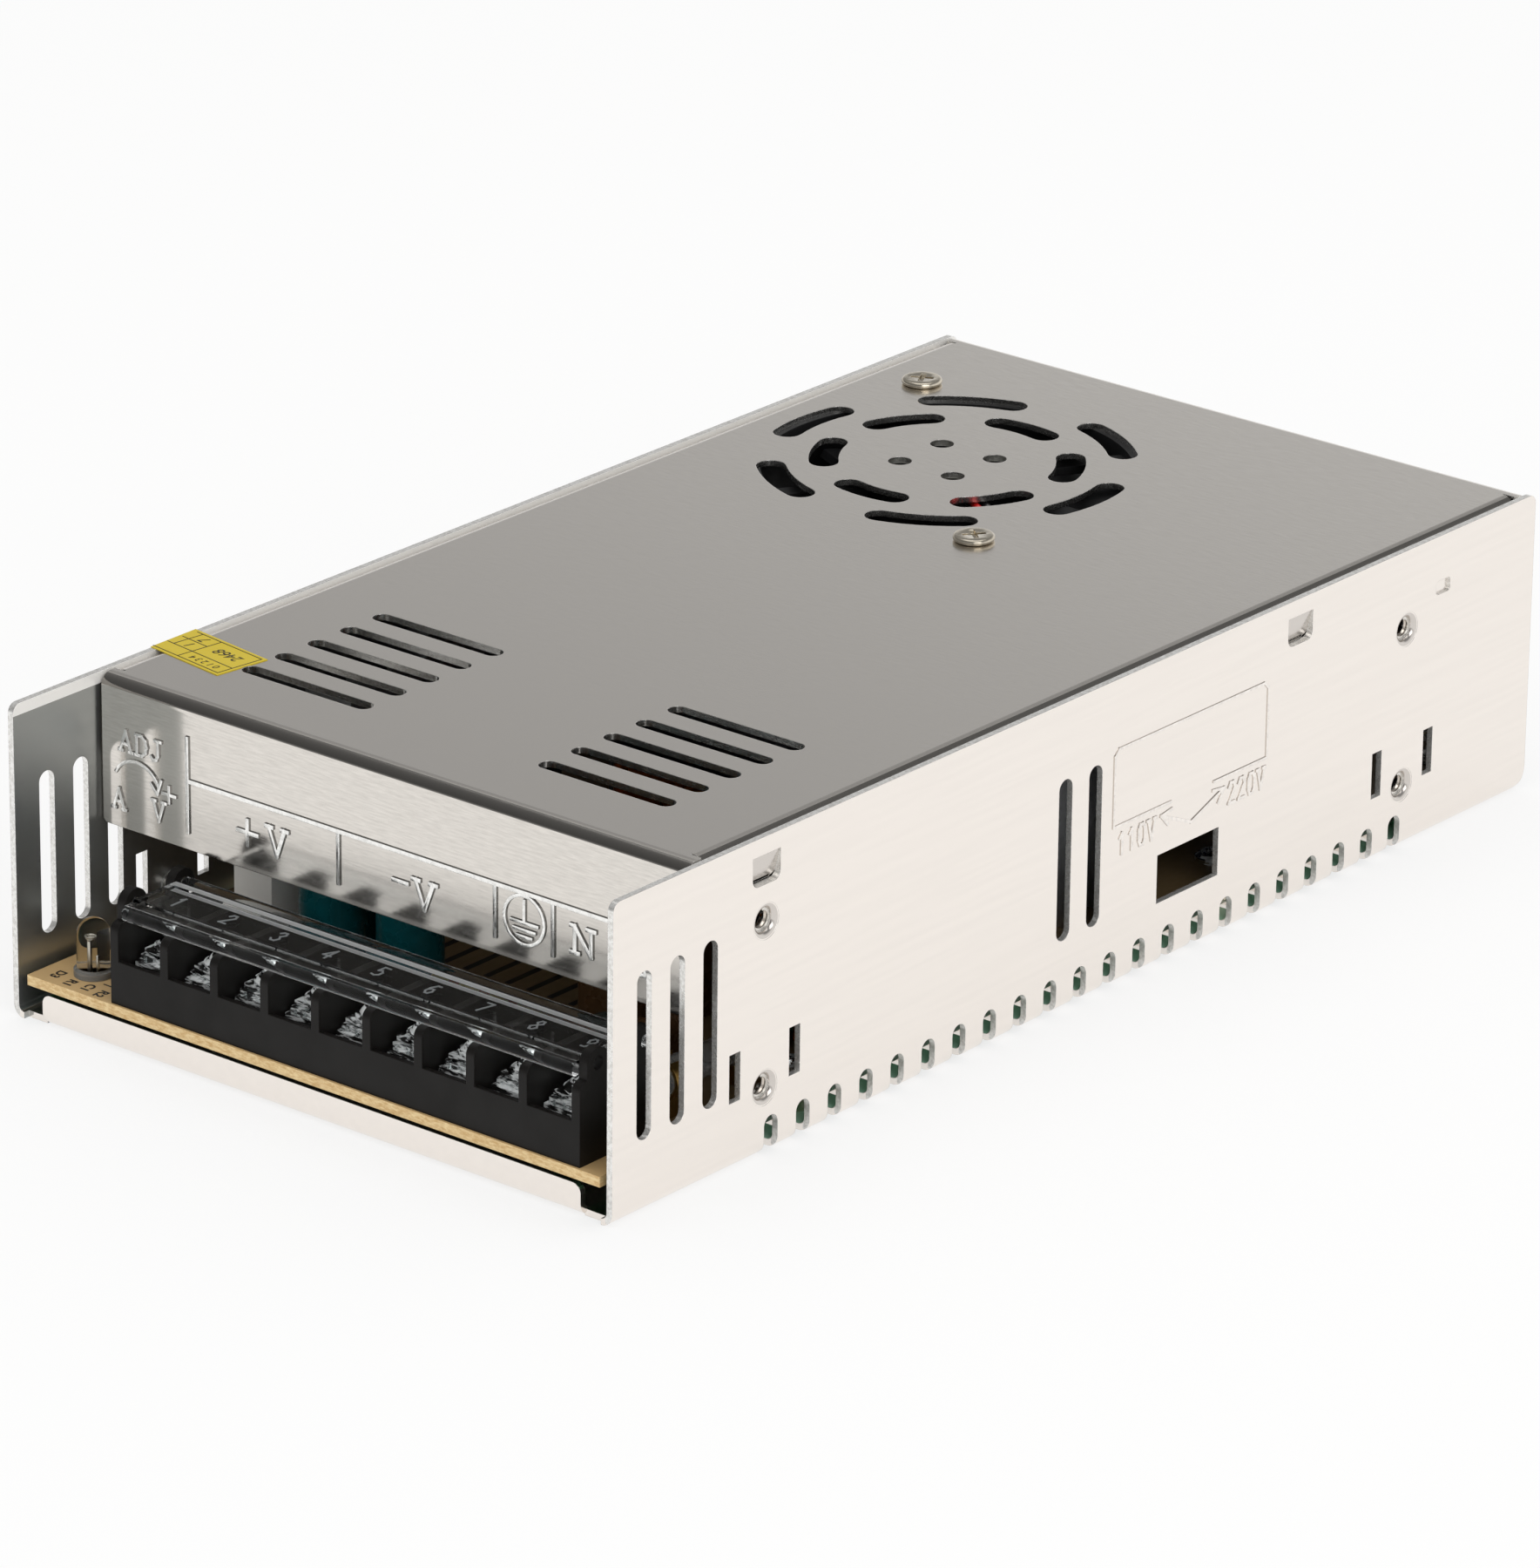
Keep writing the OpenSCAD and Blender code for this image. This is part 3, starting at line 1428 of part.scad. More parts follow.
chassis();
top_cover();
cover_screws();
seal_label();
fan_frame();
fan_bearing();
fan_stator();
fan_rotor();
fan_screws();
fan_nuts();
fan_lead_red();
fan_lead_black();
fan_plug();
fan_header();
circuit_board();
board_standoffs();
board_screws();
terminal_block();
terminal_contacts();
terminal_clamps();
terminal_screws();
terminal_cover();
power_lamp();
trimmer_body();
trimmer_rotor();
load_resistor();
output_capacitors();
output_choke_core();
output_choke_winding();
output_heatsink();
output_rectifiers();
input_heatsink();
switching_transistors();
heatsink_screws();
main_transformer_core();
main_transformer_bobbin();
main_transformer_winding();
driver_transformer_core();
driver_transformer_bobbin();
driver_transformer_winding();
bulk_capacitors();
bridge_rectifier();
line_choke_core();
line_choke_winding();
line_capacitor();
safety_capacitors();
fuse();
fuse_clips();
inrush_thermistor();
coupling_capacitor();
control_chip();
small_capacitors();
small_resistors();
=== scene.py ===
"""Looks of an enclosed switching power supply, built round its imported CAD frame."""

import math

import bpy
from mathutils import Matrix, Vector


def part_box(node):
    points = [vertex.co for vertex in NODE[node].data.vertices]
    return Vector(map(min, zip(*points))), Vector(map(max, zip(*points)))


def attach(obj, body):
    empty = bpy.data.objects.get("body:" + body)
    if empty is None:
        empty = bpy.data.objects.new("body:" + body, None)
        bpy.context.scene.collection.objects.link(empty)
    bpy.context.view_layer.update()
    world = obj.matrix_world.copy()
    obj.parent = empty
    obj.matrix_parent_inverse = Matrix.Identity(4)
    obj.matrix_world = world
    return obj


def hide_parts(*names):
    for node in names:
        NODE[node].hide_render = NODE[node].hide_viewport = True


bl_info = {
    "name": "Enclosed Power Supply",
    "version": (1, 0, 0),
    "blender": (4, 5, 0),
    "location": "View3D > Sidebar > Supply",
    "description": "Finishes, marks and small fittings of a fan-cooled power supply in a folded metal case",
    "category": "Object",
}

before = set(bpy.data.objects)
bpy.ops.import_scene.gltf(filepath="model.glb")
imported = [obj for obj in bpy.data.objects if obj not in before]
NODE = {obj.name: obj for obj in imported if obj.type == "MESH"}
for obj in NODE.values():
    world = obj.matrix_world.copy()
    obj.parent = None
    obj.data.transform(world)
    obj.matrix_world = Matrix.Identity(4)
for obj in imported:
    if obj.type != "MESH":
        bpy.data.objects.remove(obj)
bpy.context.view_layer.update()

# Metres in a millimetre and in a thousandth of one
MM = 0.001
MICRON = 0.000001

# Corners of the two sheets, and their thickness
CASE_LOW, CASE_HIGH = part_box("chassis")
COVER_LOW, COVER_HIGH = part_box("top_cover")
SHEET = 1.0 * MM

# Width and height of the photograph in pixels
PHOTO = (1768, 1800)


def tone(red, green, blue):
    """A colour read off a picture, 0 to 255, as the linear values that shaders work in."""
    def linear(value):
        value /= 255
        return value / 12.92 if value <= 0.04045 else ((value + 0.055) / 1.055) ** 2.4
    return linear(red), linear(green), linear(blue)


def opaque(colour):
    """A colour with full cover."""
    return (*colour, 1.0)


def shaded(colour, share):
    """A colour brought down to a share of its brightness."""
    return tuple(channel * share for channel in colour)


# Sizes and colours


def colour_of(name, words, red, green, blue):
    """A colour to choose."""
    return bpy.props.FloatVectorProperty(
        name=name, description=words, subtype="COLOR", size=3, min=0, max=1, default=tone(red, green, blue))


def length_of(name, words, millimetres):
    """A length to choose."""
    return bpy.props.FloatProperty(
        name=name, description=words, subtype="DISTANCE", unit="LENGTH", default=millimetres * MM, min=0)


def share_of(name, words, value):
    """A share from 0 to 1 to choose."""
    return bpy.props.FloatProperty(
        name=name, description=words, subtype="FACTOR", default=value, min=0, max=1)


class SheetFinish(bpy.types.PropertyGroup):
    """Folded aluminium of the chassis and the cover"""

    wall: colour_of("Wall", "Satin sheet of the chassis", 244, 237, 230)
    cover: colour_of("Cover", "Brushed sheet of the cover", 228, 223, 216)
    cut: colour_of("Cut edge", "Bright metal where the sheet was sheared", 242, 241, 238)
    torn: colour_of("Torn edge", "Dull specks along a sheared edge", 216, 214, 210)
    # Inside: the duller finish is the sheet's own; its darker colour is painted shade inside the case
    inside: colour_of("Inside", "Dull mill finish inside the case", 170, 173, 172)
    # Rim: a pale, nearly matt band along the inside of the upper edges, painted light where the inner faces
    # catch light
    rim: colour_of("Rim", "Pale burnished inside of the upper edges", 252, 250, 246)


class PartFinish(bpy.types.PropertyGroup):
    """Colours of the pieces in the case"""

    block: colour_of("Terminal block", "Black moulding of the terminals", 22, 20, 18)
    board: colour_of("Board", "Paper laminate of the circuit board", 208, 174, 122)
    mask: colour_of("Solder mask", "Green underside of the board", 120, 182, 142)
    label: colour_of("Label", "Yellow paper seal", 208, 184, 30)
    ink: colour_of("Ink", "Black print", 22, 22, 22)
    sleeve: colour_of("Output sleeve", "Teal sleeve of the output capacitors", 8, 82, 88)
    zinc: colour_of("Zinc", "Plated terminal hardware", 240, 243, 243)
    nickel: colour_of("Nickel", "Plated fan screws", 214, 205, 188)
    copper: colour_of("Copper", "Enamelled winding wire", 196, 106, 52)


class MarkSizes(bpy.types.PropertyGroup):
    """Stamped and printed marks"""

    line: length_of("Line", "Width of a stamped line", 0.64)
    stroke: length_of("Stroke", "Width of a stroke of a stamped letter", 0.66)
    fine: length_of("Fine stroke", "Width of a stroke of a small stamped letter", 0.5)
    rise: length_of("Rise", "Height of a stamped mark above the sheet", 0.24)
    letter: length_of("Letter", "Height of the large stamped letters", 4.2)
    small_letter: length_of("Small letter", "Height of the small stamped letters", 3.05)
    number: length_of("Number", "Height of the numbers on the clear cover", 3.0)
    ink: length_of("Ink", "Thickness of a printed line", 0.02)


class StageSettings(bpy.types.PropertyGroup):
    """Camera, floor and light"""

    focal: bpy.props.FloatProperty(
        name="Focal length", description="In pixels of the photograph", default=10639.2)
    azimuth: bpy.props.FloatProperty(
        name="Azimuth", description="Camera's turn to the right of the front", subtype="ANGLE",
        default=math.radians(39.36))
    elevation: bpy.props.FloatProperty(
        name="Elevation", description="Camera's height above the horizon", subtype="ANGLE",
        default=math.radians(21.77))
    roll: bpy.props.FloatProperty(
        name="Roll", description="Camera's tilt", subtype="ANGLE", default=math.radians(0.64))
    aim: bpy.props.FloatVectorProperty(
        name="Aim", description="Sideways place, height and distance of the origin from the camera",
        subtype="TRANSLATION", default=(3.40 * MM, -16.91 * MM, 1376.24 * MM))
    floor: colour_of("Floor", "Pale floor", 247, 247, 246)
    glow: share_of("Floor glow", "Share of the floor that shows as even white", 0.7)
    sky: share_of("Sky", "Strength of the even light", 0.75)
    key: bpy.props.FloatProperty(name="Key", description="Lamp at the right, in watts", default=7.0)
    top: bpy.props.FloatProperty(name="Top", description="Lamp above, in watts", default=5.0)


# Shader building


class Wiring:
    """Nodes of one tree, with short ways to add and join them."""

    def __init__(self, tree):
        self.tree = tree

    def add(self, kind, **values):
        """A new node with its settings."""
        node = self.tree.nodes.new(kind)
        for key, value in values.items():
            setattr(node, key, value)
        return node

    def join(self, source, target):
        self.tree.links.new(source, target)

    def spread(self, source, low, high, to_low=0.0, to_high=1.0):
        """A source carried over from one range to another, and held at its ends."""
        node = self.add("ShaderNodeMapRange")
        for key, value in zip(("From Min", "From Max", "To Min", "To Max"), (low, high, to_low, to_high)):
            node.inputs[key].default_value = value
        self.join(source, node.inputs["Value"])
        return node.outputs[0]

    def calc(self, operation, first, second=None):
        """One step of arithmetic on sources or numbers."""
        node = self.add("ShaderNodeMath", operation=operation)
        for slot, value in enumerate((first, second)):
            if isinstance(value, (int, float)):
                node.inputs[slot].default_value = value
            elif value is not None:
                self.join(value, node.inputs[slot])
        return node.outputs[0]

    def both(self, first, *others):
        """A mask of where all the given masks hold."""
        for other in others:
            first = self.calc("MULTIPLY", first, other)
        return first

    def above(self, source, edge):
        return self.calc("GREATER_THAN", source, edge)

    def below(self, source, edge):
        return self.calc("LESS_THAN", source, edge)

    def within(self, source, low, high):
        return self.both(self.above(source, low), self.below(source, high))

    def axis(self, source, letter):
        """One of a vector's three parts."""
        node = self.add("ShaderNodeSeparateXYZ")
        self.join(source, node.inputs[0])
        return node.outputs[letter]

    def seen(self):
        """Two masks of the light path: rays that look at or through things, and mirrored rays."""
        path = self.add("ShaderNodeLightPath")
        through = self.calc("MAXIMUM", path.outputs["Is Camera Ray"], path.outputs["Is Transmission Ray"])
        mirrored = self.calc("SUBTRACT", path.outputs["Is Glossy Ray"], through)
        return through, self.calc("MAXIMUM", mirrored, 0.0)


class Finish(Wiring):
    """A material under construction: a principled surface with its texture chain."""

    def __init__(self, name):
        self.material = bpy.data.materials.new(name)
        self.material.use_nodes = True
        super().__init__(self.material.node_tree)
        self.tree.nodes.clear()
        self.out = self.add("ShaderNodeOutputMaterial")
        self.skin = self.add("ShaderNodeBsdfPrincipled")
        self.join(self.skin.outputs[0], self.out.inputs["Surface"])
        self.where = self.add("ShaderNodeTexCoord").outputs["Object"]

    def put(self, **values):
        """Set plain values of the skin."""
        for key, value in values.items():
            self.skin.inputs[key.replace("_", " ")].default_value = value
        return self

    def drive(self, socket, source):
        """Let a source set one value of the skin."""
        self.join(source, self.skin.inputs[socket])
        return self

    def stretched(self, scale):
        """The piece's own coordinates, scaled along each axis."""
        node = self.add("ShaderNodeMapping")
        node.inputs["Scale"].default_value = scale
        self.join(self.where, node.inputs["Vector"])
        return node.outputs[0]

    def noise(self, scale, detail=3.0, stretch=None, rough=0.55):
        """A cloudy pattern fixed to the piece."""
        node = self.add("ShaderNodeTexNoise")
        node.inputs["Scale"].default_value = scale
        node.inputs["Detail"].default_value = detail
        node.inputs["Roughness"].default_value = rough
        self.join(self.stretched(stretch) if stretch else self.where, node.inputs["Vector"])
        return node.outputs["Fac"]

    def blend(self, factor, first, second):
        """From the first colour to the second by a factor; each is a colour or a source."""
        node = self.add("ShaderNodeMix", data_type="RGBA")
        self.join(factor, node.inputs["Factor"])
        for slot, value in (("A", first), ("B", second)):
            socket = next(s for s in node.inputs if s.name == slot and s.type == "RGBA")
            if isinstance(value, tuple):
                socket.default_value = opaque(value)
            else:
                self.join(value, socket)
        return next(s for s in node.outputs if s.type == "RGBA")

    def facing(self, letter):
        """How far the surface faces along an axis, from -1 to 1."""
        return self.axis(self.add("ShaderNodeNewGeometry").outputs["Normal"], letter)

    def place(self, letter):
        """Where a point lies along an axis, in metres."""
        return self.axis(self.where, letter)

    def colour(self, source):
        return self.drive("Base Color", source)

    def roughness(self, source, low, high, *rougher):
        """Roughness between two values by a source, and more by each pair of a mask and an amount."""
        value = self.spread(source, 0.3, 0.7, low, high)
        for mask, by in rougher:
            value = self.calc("ADD", value, self.calc("MULTIPLY", mask, by))
        return self.drive("Roughness", value)

    def relief(self, soft, *layers):
        """Relief over edges softened by a radius: each layer is a source and its depth in metres."""
        height = 0.0
        for source, depth in layers:
            height = self.calc("ADD", self.calc("MULTIPLY", source, depth), height)
        edge = self.add("ShaderNodeBevel", samples=4)
        edge.inputs["Radius"].default_value = soft
        bump = self.add("ShaderNodeBump")
        bump.inputs["Strength"].default_value = 1.0
        bump.inputs["Distance"].default_value = 1.0
        self.join(height, bump.inputs["Height"])
        self.join(edge.outputs[0], bump.inputs["Normal"])
        return self.drive("Normal", bump.outputs[0])


def moulded(name, colour, rough=(0.38, 0.5), shade=0.82, grain=900, depth=12 * MICRON, soft=0.18 * MM):
    """Moulded or dipped plastic with a faint grain."""
    made = Finish(name)
    cloud = made.noise(140, 4)
    made.colour(made.blend(cloud, colour, shaded(colour, shade)))
    made.roughness(cloud, *rough)
    return made.relief(soft, (made.noise(grain, 2), depth))


def plated(name, colour, rough=(0.14, 0.3), shade=0.8, soft=0.12 * MM, wobble=8 * MICRON):
    """Bright plated metal with handling marks."""
    made = Finish(name)
    cloud = made.noise(500, 5)
    made.colour(made.blend(made.spread(cloud, 0.35, 0.75), colour, shaded(colour, shade)))
    made.roughness(cloud, *rough)
    return made.put(Metallic=1.0).relief(soft, (made.noise(1100, 3), wobble))


def stamped(name, axis, colour, lying_side_shade, standing_side_shade):
    """Raised stamp whose top faces along an axis: scuffed and in a pale colour there, a painted highlight,
    and darker by shares on its sides, painted shade.
    """
    made = Finish(name)
    scuff = made.noise(1600, 3)
    top = made.spread(made.calc("ABSOLUTE", made.facing(axis)), 0.6, 0.95)
    scuffed_highlight = made.blend(made.spread(scuff, 0.4, 0.7), colour, shaded(colour, 0.85))
    level = made.spread(made.calc("ABSOLUTE", made.facing("Z")), 0.3, 0.9)
    # Sides darker by one share where they face up or down and another where they stand: painted shade
    side = made.blend(level, shaded(colour, standing_side_shade), shaded(colour, lying_side_shade))
    # Pale scuffed top as a painted highlight, shaded sides as painted shade
    made.colour(made.blend(top, side, scuffed_highlight))
    made.roughness(scuff, 0.14, 0.3)
    return made.put(Metallic=1.0).relief(0.04 * MM, (scuff, 4 * MICRON))


def coated(name, colour, rough=(0.2, 0.34)):
    """Glossy film or lacquer."""
    made = Finish(name)
    cloud = made.noise(260, 3)
    made.colour(made.blend(cloud, colour, shaded(colour, 0.86)))
    made.roughness(cloud, *rough)
    return made.relief(0.15 * MM, (made.noise(420, 2), 20 * MICRON))


def glassy(name, first, second, index, rough=(0.0, 0.03), clear=1.0, ripple=4 * MICRON):
    """Clear plastic, resin or glass with a faint ripple."""
    made = Finish(name)
    made.colour(made.blend(made.noise(60, 3), first, second))
    made.roughness(made.noise(900, 3), *rough)
    made.put(Transmission_Weight=clear, IOR=index)
    return made.relief(0.2 * MM, (made.noise(140, 2), ripple))


def wear(made, *names):
    """Give CAD nodes a finish."""
    for name in names:
        materials = NODE[name].data.materials
        materials.clear()
        materials.append(made.material)


# Modelling helpers


def start():
    """Leave edit mode, with nothing selected."""
    if bpy.context.object and bpy.context.object.mode != "OBJECT":
        bpy.ops.object.mode_set(mode="OBJECT")
    bpy.ops.object.select_all(action="DESELECT")


def pick(items):
    """Select only these objects and make the first the active one."""
    start()
    for item in items:
        item.select_set(True)
    bpy.context.view_layer.objects.active = items[0]


def joined(items, name):
    """Several objects made one."""
    pick(items)
    if len(items) > 1:
        bpy.ops.object.join()
    whole = bpy.context.object
    whole.name = name
    whole.data.name = name
    return whole


def settled(item):
    """Put the object's place into its mesh."""
    pick([item])
    bpy.ops.object.transform_apply(location=True, rotation=True, scale=True)
    return item


def combined(whole, tool, operation, crossing=False):
    """Unite a solid with a tool or cut the tool out of it; crossing is for a solid that overlaps itself."""
    pick([whole])
    bpy.ops.object.modifier_add(type="BOOLEAN")
    step = whole.modifiers[-1]
    step.operation = operation
    step.solver = "EXACT"
    step.use_self = crossing
    step.object = tool
    bpy.ops.object.modifier_apply(modifier=step.name)
    pick([tool])
    bpy.ops.object.delete()


def fused(bars, name):
    """Unite overlapping bars in one clean solid."""
    *rest, last = bars
    whole = joined(rest, name)
    combined(whole, last, "UNION", crossing=True)
    pick([whole])
    bpy.ops.object.mode_set(mode="EDIT")
    bpy.ops.mesh.select_all(action="SELECT")
    bpy.ops.mesh.remove_doubles(threshold=2 * MICRON)
    bpy.ops.mesh.dissolve_limited(angle_limit=math.radians(1))
    bpy.ops.object.mode_set(mode="OBJECT")
    return whole


def rounded(item, width, segments=2):
    """Round the sharp edges and smooth the shading between them."""
    pick([item])
    bpy.ops.object.modifier_add(type="BEVEL")
    edge = item.modifiers[-1]
    edge.width = width
    edge.segments = segments
    edge.limit_method = "ANGLE"
    edge.angle_limit = math.radians(40)
    bpy.ops.object.modifier_apply(modifier=edge.name)
    bpy.ops.object.shade_smooth_by_angle(angle=math.radians(35))
    return item


def stroke(first, last, width, tall):
    """A bar in the drawing plane, from one point to another in millimetres."""
    first, last = Vector(first) * MM, Vector(last) * MM
    run = last - first
    start()
    bpy.ops.mesh.primitive_cube_add(
        size=1, location=(*((first + last) / 2), tall / 2), rotation=(0, 0, math.atan2(run.y, run.x)),
        scale=(run.length + width, width, tall))
    return settled(bpy.context.object)


def chain(points, width, tall):
    """Bars from point to point."""
    return [stroke(a, b, width, tall) for a, b in zip(points, points[1:])]


def arc(centre, radius, begin, end, width, tall, steps=14):
    """A bent bar: short strokes along a circle, angles in degrees and lengths in millimetres."""
    points = []
    for i in range(steps + 1):
        turn = math.radians(begin + (end - begin) * i / steps)
        points.append((centre[0] + radius * math.cos(turn), centre[1] + radius * math.sin(turn)))
    return chain(points, width, tall)


def written(text, size, tall, at, slant=0.0, turn=0.0, bold=0.0):
    """Plain text as a thin solid in the drawing plane, centred on a point in millimetres."""
    start()
    bpy.ops.object.text_add(location=(at[0] * MM, at[1] * MM, 0))
    item = bpy.context.object
    item.data.body = text
    item.data.size = size
    item.data.shear = slant
    item.data.offset = bold
    item.data.extrude = tall / 2
    item.data.align_x = "CENTER"
    item.data.align_y = "CENTER"
    bpy.ops.object.convert(target="MESH")
    item = bpy.context.object
    item.location.z = tall / 2
    item.rotation_euler.z = math.radians(turn)
    return settled(item)


def hung(item, matrix):
    """Move a drawing-plane piece to its place and fix it there."""
    item.matrix_world = matrix
    return settled(item)


def dress(item, body, made):
    """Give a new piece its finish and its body."""
    item.data.materials.clear()
    item.data.materials.append(made.material)
    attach(item, body)


# Letter shapes, on a unit square, as runs of points
SHAPES = {
    "A": [[(0.05, 0), (0.5, 1), (0.95, 0)], [(0.24, 0.36), (0.76, 0.36)], [(-0.08, 0), (0.2, 0)],
          [(0.8, 0), (1.08, 0)]],
    "V": [[(0.05, 1), (0.5, 0), (0.95, 1)], [(-0.1, 1), (0.22, 1)], [(0.78, 1), (1.1, 1)]],
    "N": [[(0.1, 0), (0.1, 1), (0.9, 0), (0.9, 1)], [(-0.08, 0), (0.28, 0)], [(-0.08, 1), (0.1, 1)],
          [(0.72, 1), (1.08, 1)]],
    "L": [[(0.12, 1), (0.12, 0)], [(-0.05, 0), (0.85, 0), (0.85, 0.25)], [(-0.05, 1), (0.3, 1)]],
    "D": [[(0.1, 0), (0.1, 1)], [(0, 0), (0.5, 0), (0.82, 0.2), (0.92, 0.5), (0.82, 0.8), (0.5, 1), (0, 1)]],
    "J": [[(0.7, 1), (0.7, 0.25), (0.55, 0.04), (0.3, 0.0), (0.12, 0.14)], [(0.45, 1), (0.95, 1)]],
    "+": [[(0, 0.5), (1, 0.5)], [(0.5, 0), (0.5, 1)]],
    "-": [[(0, 0.5), (1, 0.5)]],
    "0": [[(0.3, 0), (0.1, 0.25), (0.1, 0.75), (0.3, 1), (0.7, 1), (0.9, 0.75), (0.9, 0.25), (0.7, 0),
           (0.3, 0)]],
    "1": [[(0.2, 0.8), (0.5, 1), (0.5, 0)]],
    "2": [[(0.1, 0.8), (0.3, 1), (0.7, 1), (0.9, 0.75), (0.1, 0), (0.9, 0)]],
    "3": [[(0.1, 0.85), (0.35, 1), (0.7, 1), (0.88, 0.78), (0.6, 0.53), (0.9, 0.28), (0.7, 0), (0.3, 0),
           (0.08, 0.15)]],
    "4": [[(0.7, 0), (0.7, 1), (0.05, 0.3), (0.95, 0.3)]],
    "5": [[(0.85, 1), (0.2, 1), (0.14, 0.55), (0.5, 0.62), (0.86, 0.42), (0.82, 0.15), (0.5, 0),
           (0.1, 0.06)]],
    "6": [[(0.8, 0.96), (0.45, 0.96), (0.15, 0.6), (0.15, 0.2), (0.4, 0), (0.7, 0), (0.88, 0.25), (0.7, 0.52),
           (0.35, 0.5), (0.15, 0.33)]],
    "7": [[(0.1, 1), (0.9, 1), (0.4, 0)]],
    "8": [[(0.5, 0.53), (0.18, 0.75), (0.35, 1), (0.65, 1), (0.82, 0.75), (0.5, 0.53), (0.12, 0.25),
           (0.35, 0), (0.65, 0), (0.88, 0.25), (0.5, 0.53)]],
    "9": [[(0.2, 0.04), (0.55, 0.04), (0.85, 0.4), (0.85, 0.8), (0.6, 1), (0.3, 1), (0.12, 0.75), (0.3, 0.48),
           (0.65, 0.5), (0.85, 0.67)]],
}


def letter(name, left, low, wide, high, width, tall):
    """Strokes of one stamped letter in a box, in millimetres."""
    bars = []
    for run in SHAPES[name]:
        bars += chain([(left + x * wide, low + y * high) for x, y in run], width, tall)
    return bars


# Pieces


class SUPPLY_OT_sheet(bpy.types.Operator):
    """Satin and brushed sheet of the chassis and the cover"""

    bl_idname = "supply.sheet"
    bl_label = "Folded Sheet"

    def execute(self, context):
        look = context.scene.supply_sheet
        wear(self.satin_wall(look), "chassis")
        wear(self.brushed_cover(look), "top_cover")
        return {"FINISHED"}

    def satin_wall(self, look):
        """Satin outside, dull inside with painted shade, bright cut edges, rims painted pale as painted
        light, painted shade on drawn slopes, and a pale matt bottom with a painted reflection of the board's
        green underside at the edge vents.
        """
        # Bands in from the outside, heights, places along the case, and shares of a face that looks sideways
        wall_band, board_reflection_band, rim_band = 1.2 * MM, 5.6 * MM, 1.8 * MM
        underside, bottom_top, vent_top = 0.4 * MM, 1.6 * MM, 6 * MM
        lip_low, lip_high, lip_rear, bay_rear = 2 * MM, 12 * MM, -100 * MM, -82 * MM
        edge_on, face_on = 0.35, 0.985
        wall = Finish("satin_wall")
        streak = wall.noise(1.0, 3, stretch=(900, 40, 900))
        side = wall.calc("ABSOLUTE", wall.place("X"))
        turned = wall.calc("ABSOLUTE", wall.facing("X"))
        upward = wall.facing("Z")
        level = wall.place("Z")
        outer = wall.above(side, CASE_HIGH.x - wall_band)
        cut = wall.both(wall.below(turned, edge_on), outer, wall.above(level, underside))
        low_cut = wall.both(cut, wall.below(level, vent_top))
        drawn = wall.both(wall.within(turned, edge_on, face_on), outer, wall.above(level, vent_top))
        inner = wall.below(wall.both(wall.place("X"), wall.facing("X")), -0.5 * (CASE_HIGH.x - SHEET))
        rim = wall.both(inner, wall.above(level, CASE_HIGH.z - rim_band))
        lip = wall.both(wall.above(upward, 0.7), wall.within(level, lip_low, lip_high),
                        wall.below(wall.place("Y"), lip_rear))
        bottom = wall.both(wall.above(upward, 0.5), wall.below(level, bottom_top),
                           wall.above(wall.place("Y"), bay_rear))
        green = wall.above(side, CASE_HIGH.x - board_reflection_band)

        base = wall.blend(wall.spread(streak, 0.35, 0.68), tuple(look.wall), shaded(look.wall, 0.985))
        # Inner faces take the darker inside colour: painted shade inside the case
        base = wall.blend(inner, base, tuple(look.inside))
        # Pale matt band inside the upper edges: painted light
        base = wall.blend(rim, base, tuple(look.rim))
        # Slopes of drawn holes and pressed tabs darkened: painted shade
        base = wall.blend(drawn, base, shaded(look.wall, 0.72))
        base = wall.blend(lip, base, tone(150, 152, 144))
        # Inside of the bottom: pale and nearly matt, with a painted reflection of the board's green underside
        # near the sides, seen through the edge vents
        base = wall.blend(bottom, base, wall.blend(green, tone(240, 240, 236), tone(206, 250, 226)))
        duller = [(inner, 0.16), (cut, 0.1), (low_cut, 0.2)]
        self.finish(wall, look, base, streak, cut, (0.13, 0.2), duller, 1 * MICRON)

        dull = wall.calc("MAXIMUM", wall.calc("MULTIPLY", inner, 0.12), wall.calc("MULTIPLY", cut, 0.35))
        # Rim and bottom are nearly matt, so their painted colours show
        dull = wall.calc("MAXIMUM", dull, wall.calc("MAXIMUM", rim, bottom))
        return wall.drive("Metallic", wall.spread(dull, 0, 1, 1.0, 0.2))

    def brushed_cover(self, look):
        """Brushed roof, a front flange that darkens downwards and towards the right as a painted reflection
        of the terminal block, bends darkened as painted shade, and bright cut edges.
        """
        # Band of the upper edges, and the heights and places between which the flange darkens as a painted
        # reflection of the dark terminal block
        edge_band = 1.1 * MM
        shade_top, shade_low = 36 * MM, 28.5 * MM
        shade_left, shade_right = -40 * MM, 45 * MM
        cover = Finish("brushed_cover")
        streak = cover.noise(1.0, 4, stretch=(300, 3000, 3000), rough=0.65)
        upward = cover.facing("Z")
        level = cover.place("Z")
        upright = cover.below(cover.calc("ABSOLUTE", upward), 0.3)
        cut = cover.both(upright, cover.above(level, COVER_HIGH.z - edge_band))
        flat = cover.above(upward, 0.7)
        front = cover.below(cover.facing("Y"), -0.7)
        foot = cover.spread(level, shade_top, shade_low)
        right = cover.spread(cover.place("X"), shade_left, shade_right, 0.35, 1.0)
        outward = cover.calc("SUBTRACT", cover.facing("X"), cover.facing("Y"))
        bend = cover.both(cover.within(upward, 0.2, 0.93), cover.above(outward, 0.2))

        shade = cover.both(cover.spread(streak, 0.35, 0.68), cover.spread(flat, 0, 1, 1.0, 0.3))
        base = cover.blend(shade, tuple(look.cover), shaded(look.cover, 0.84))
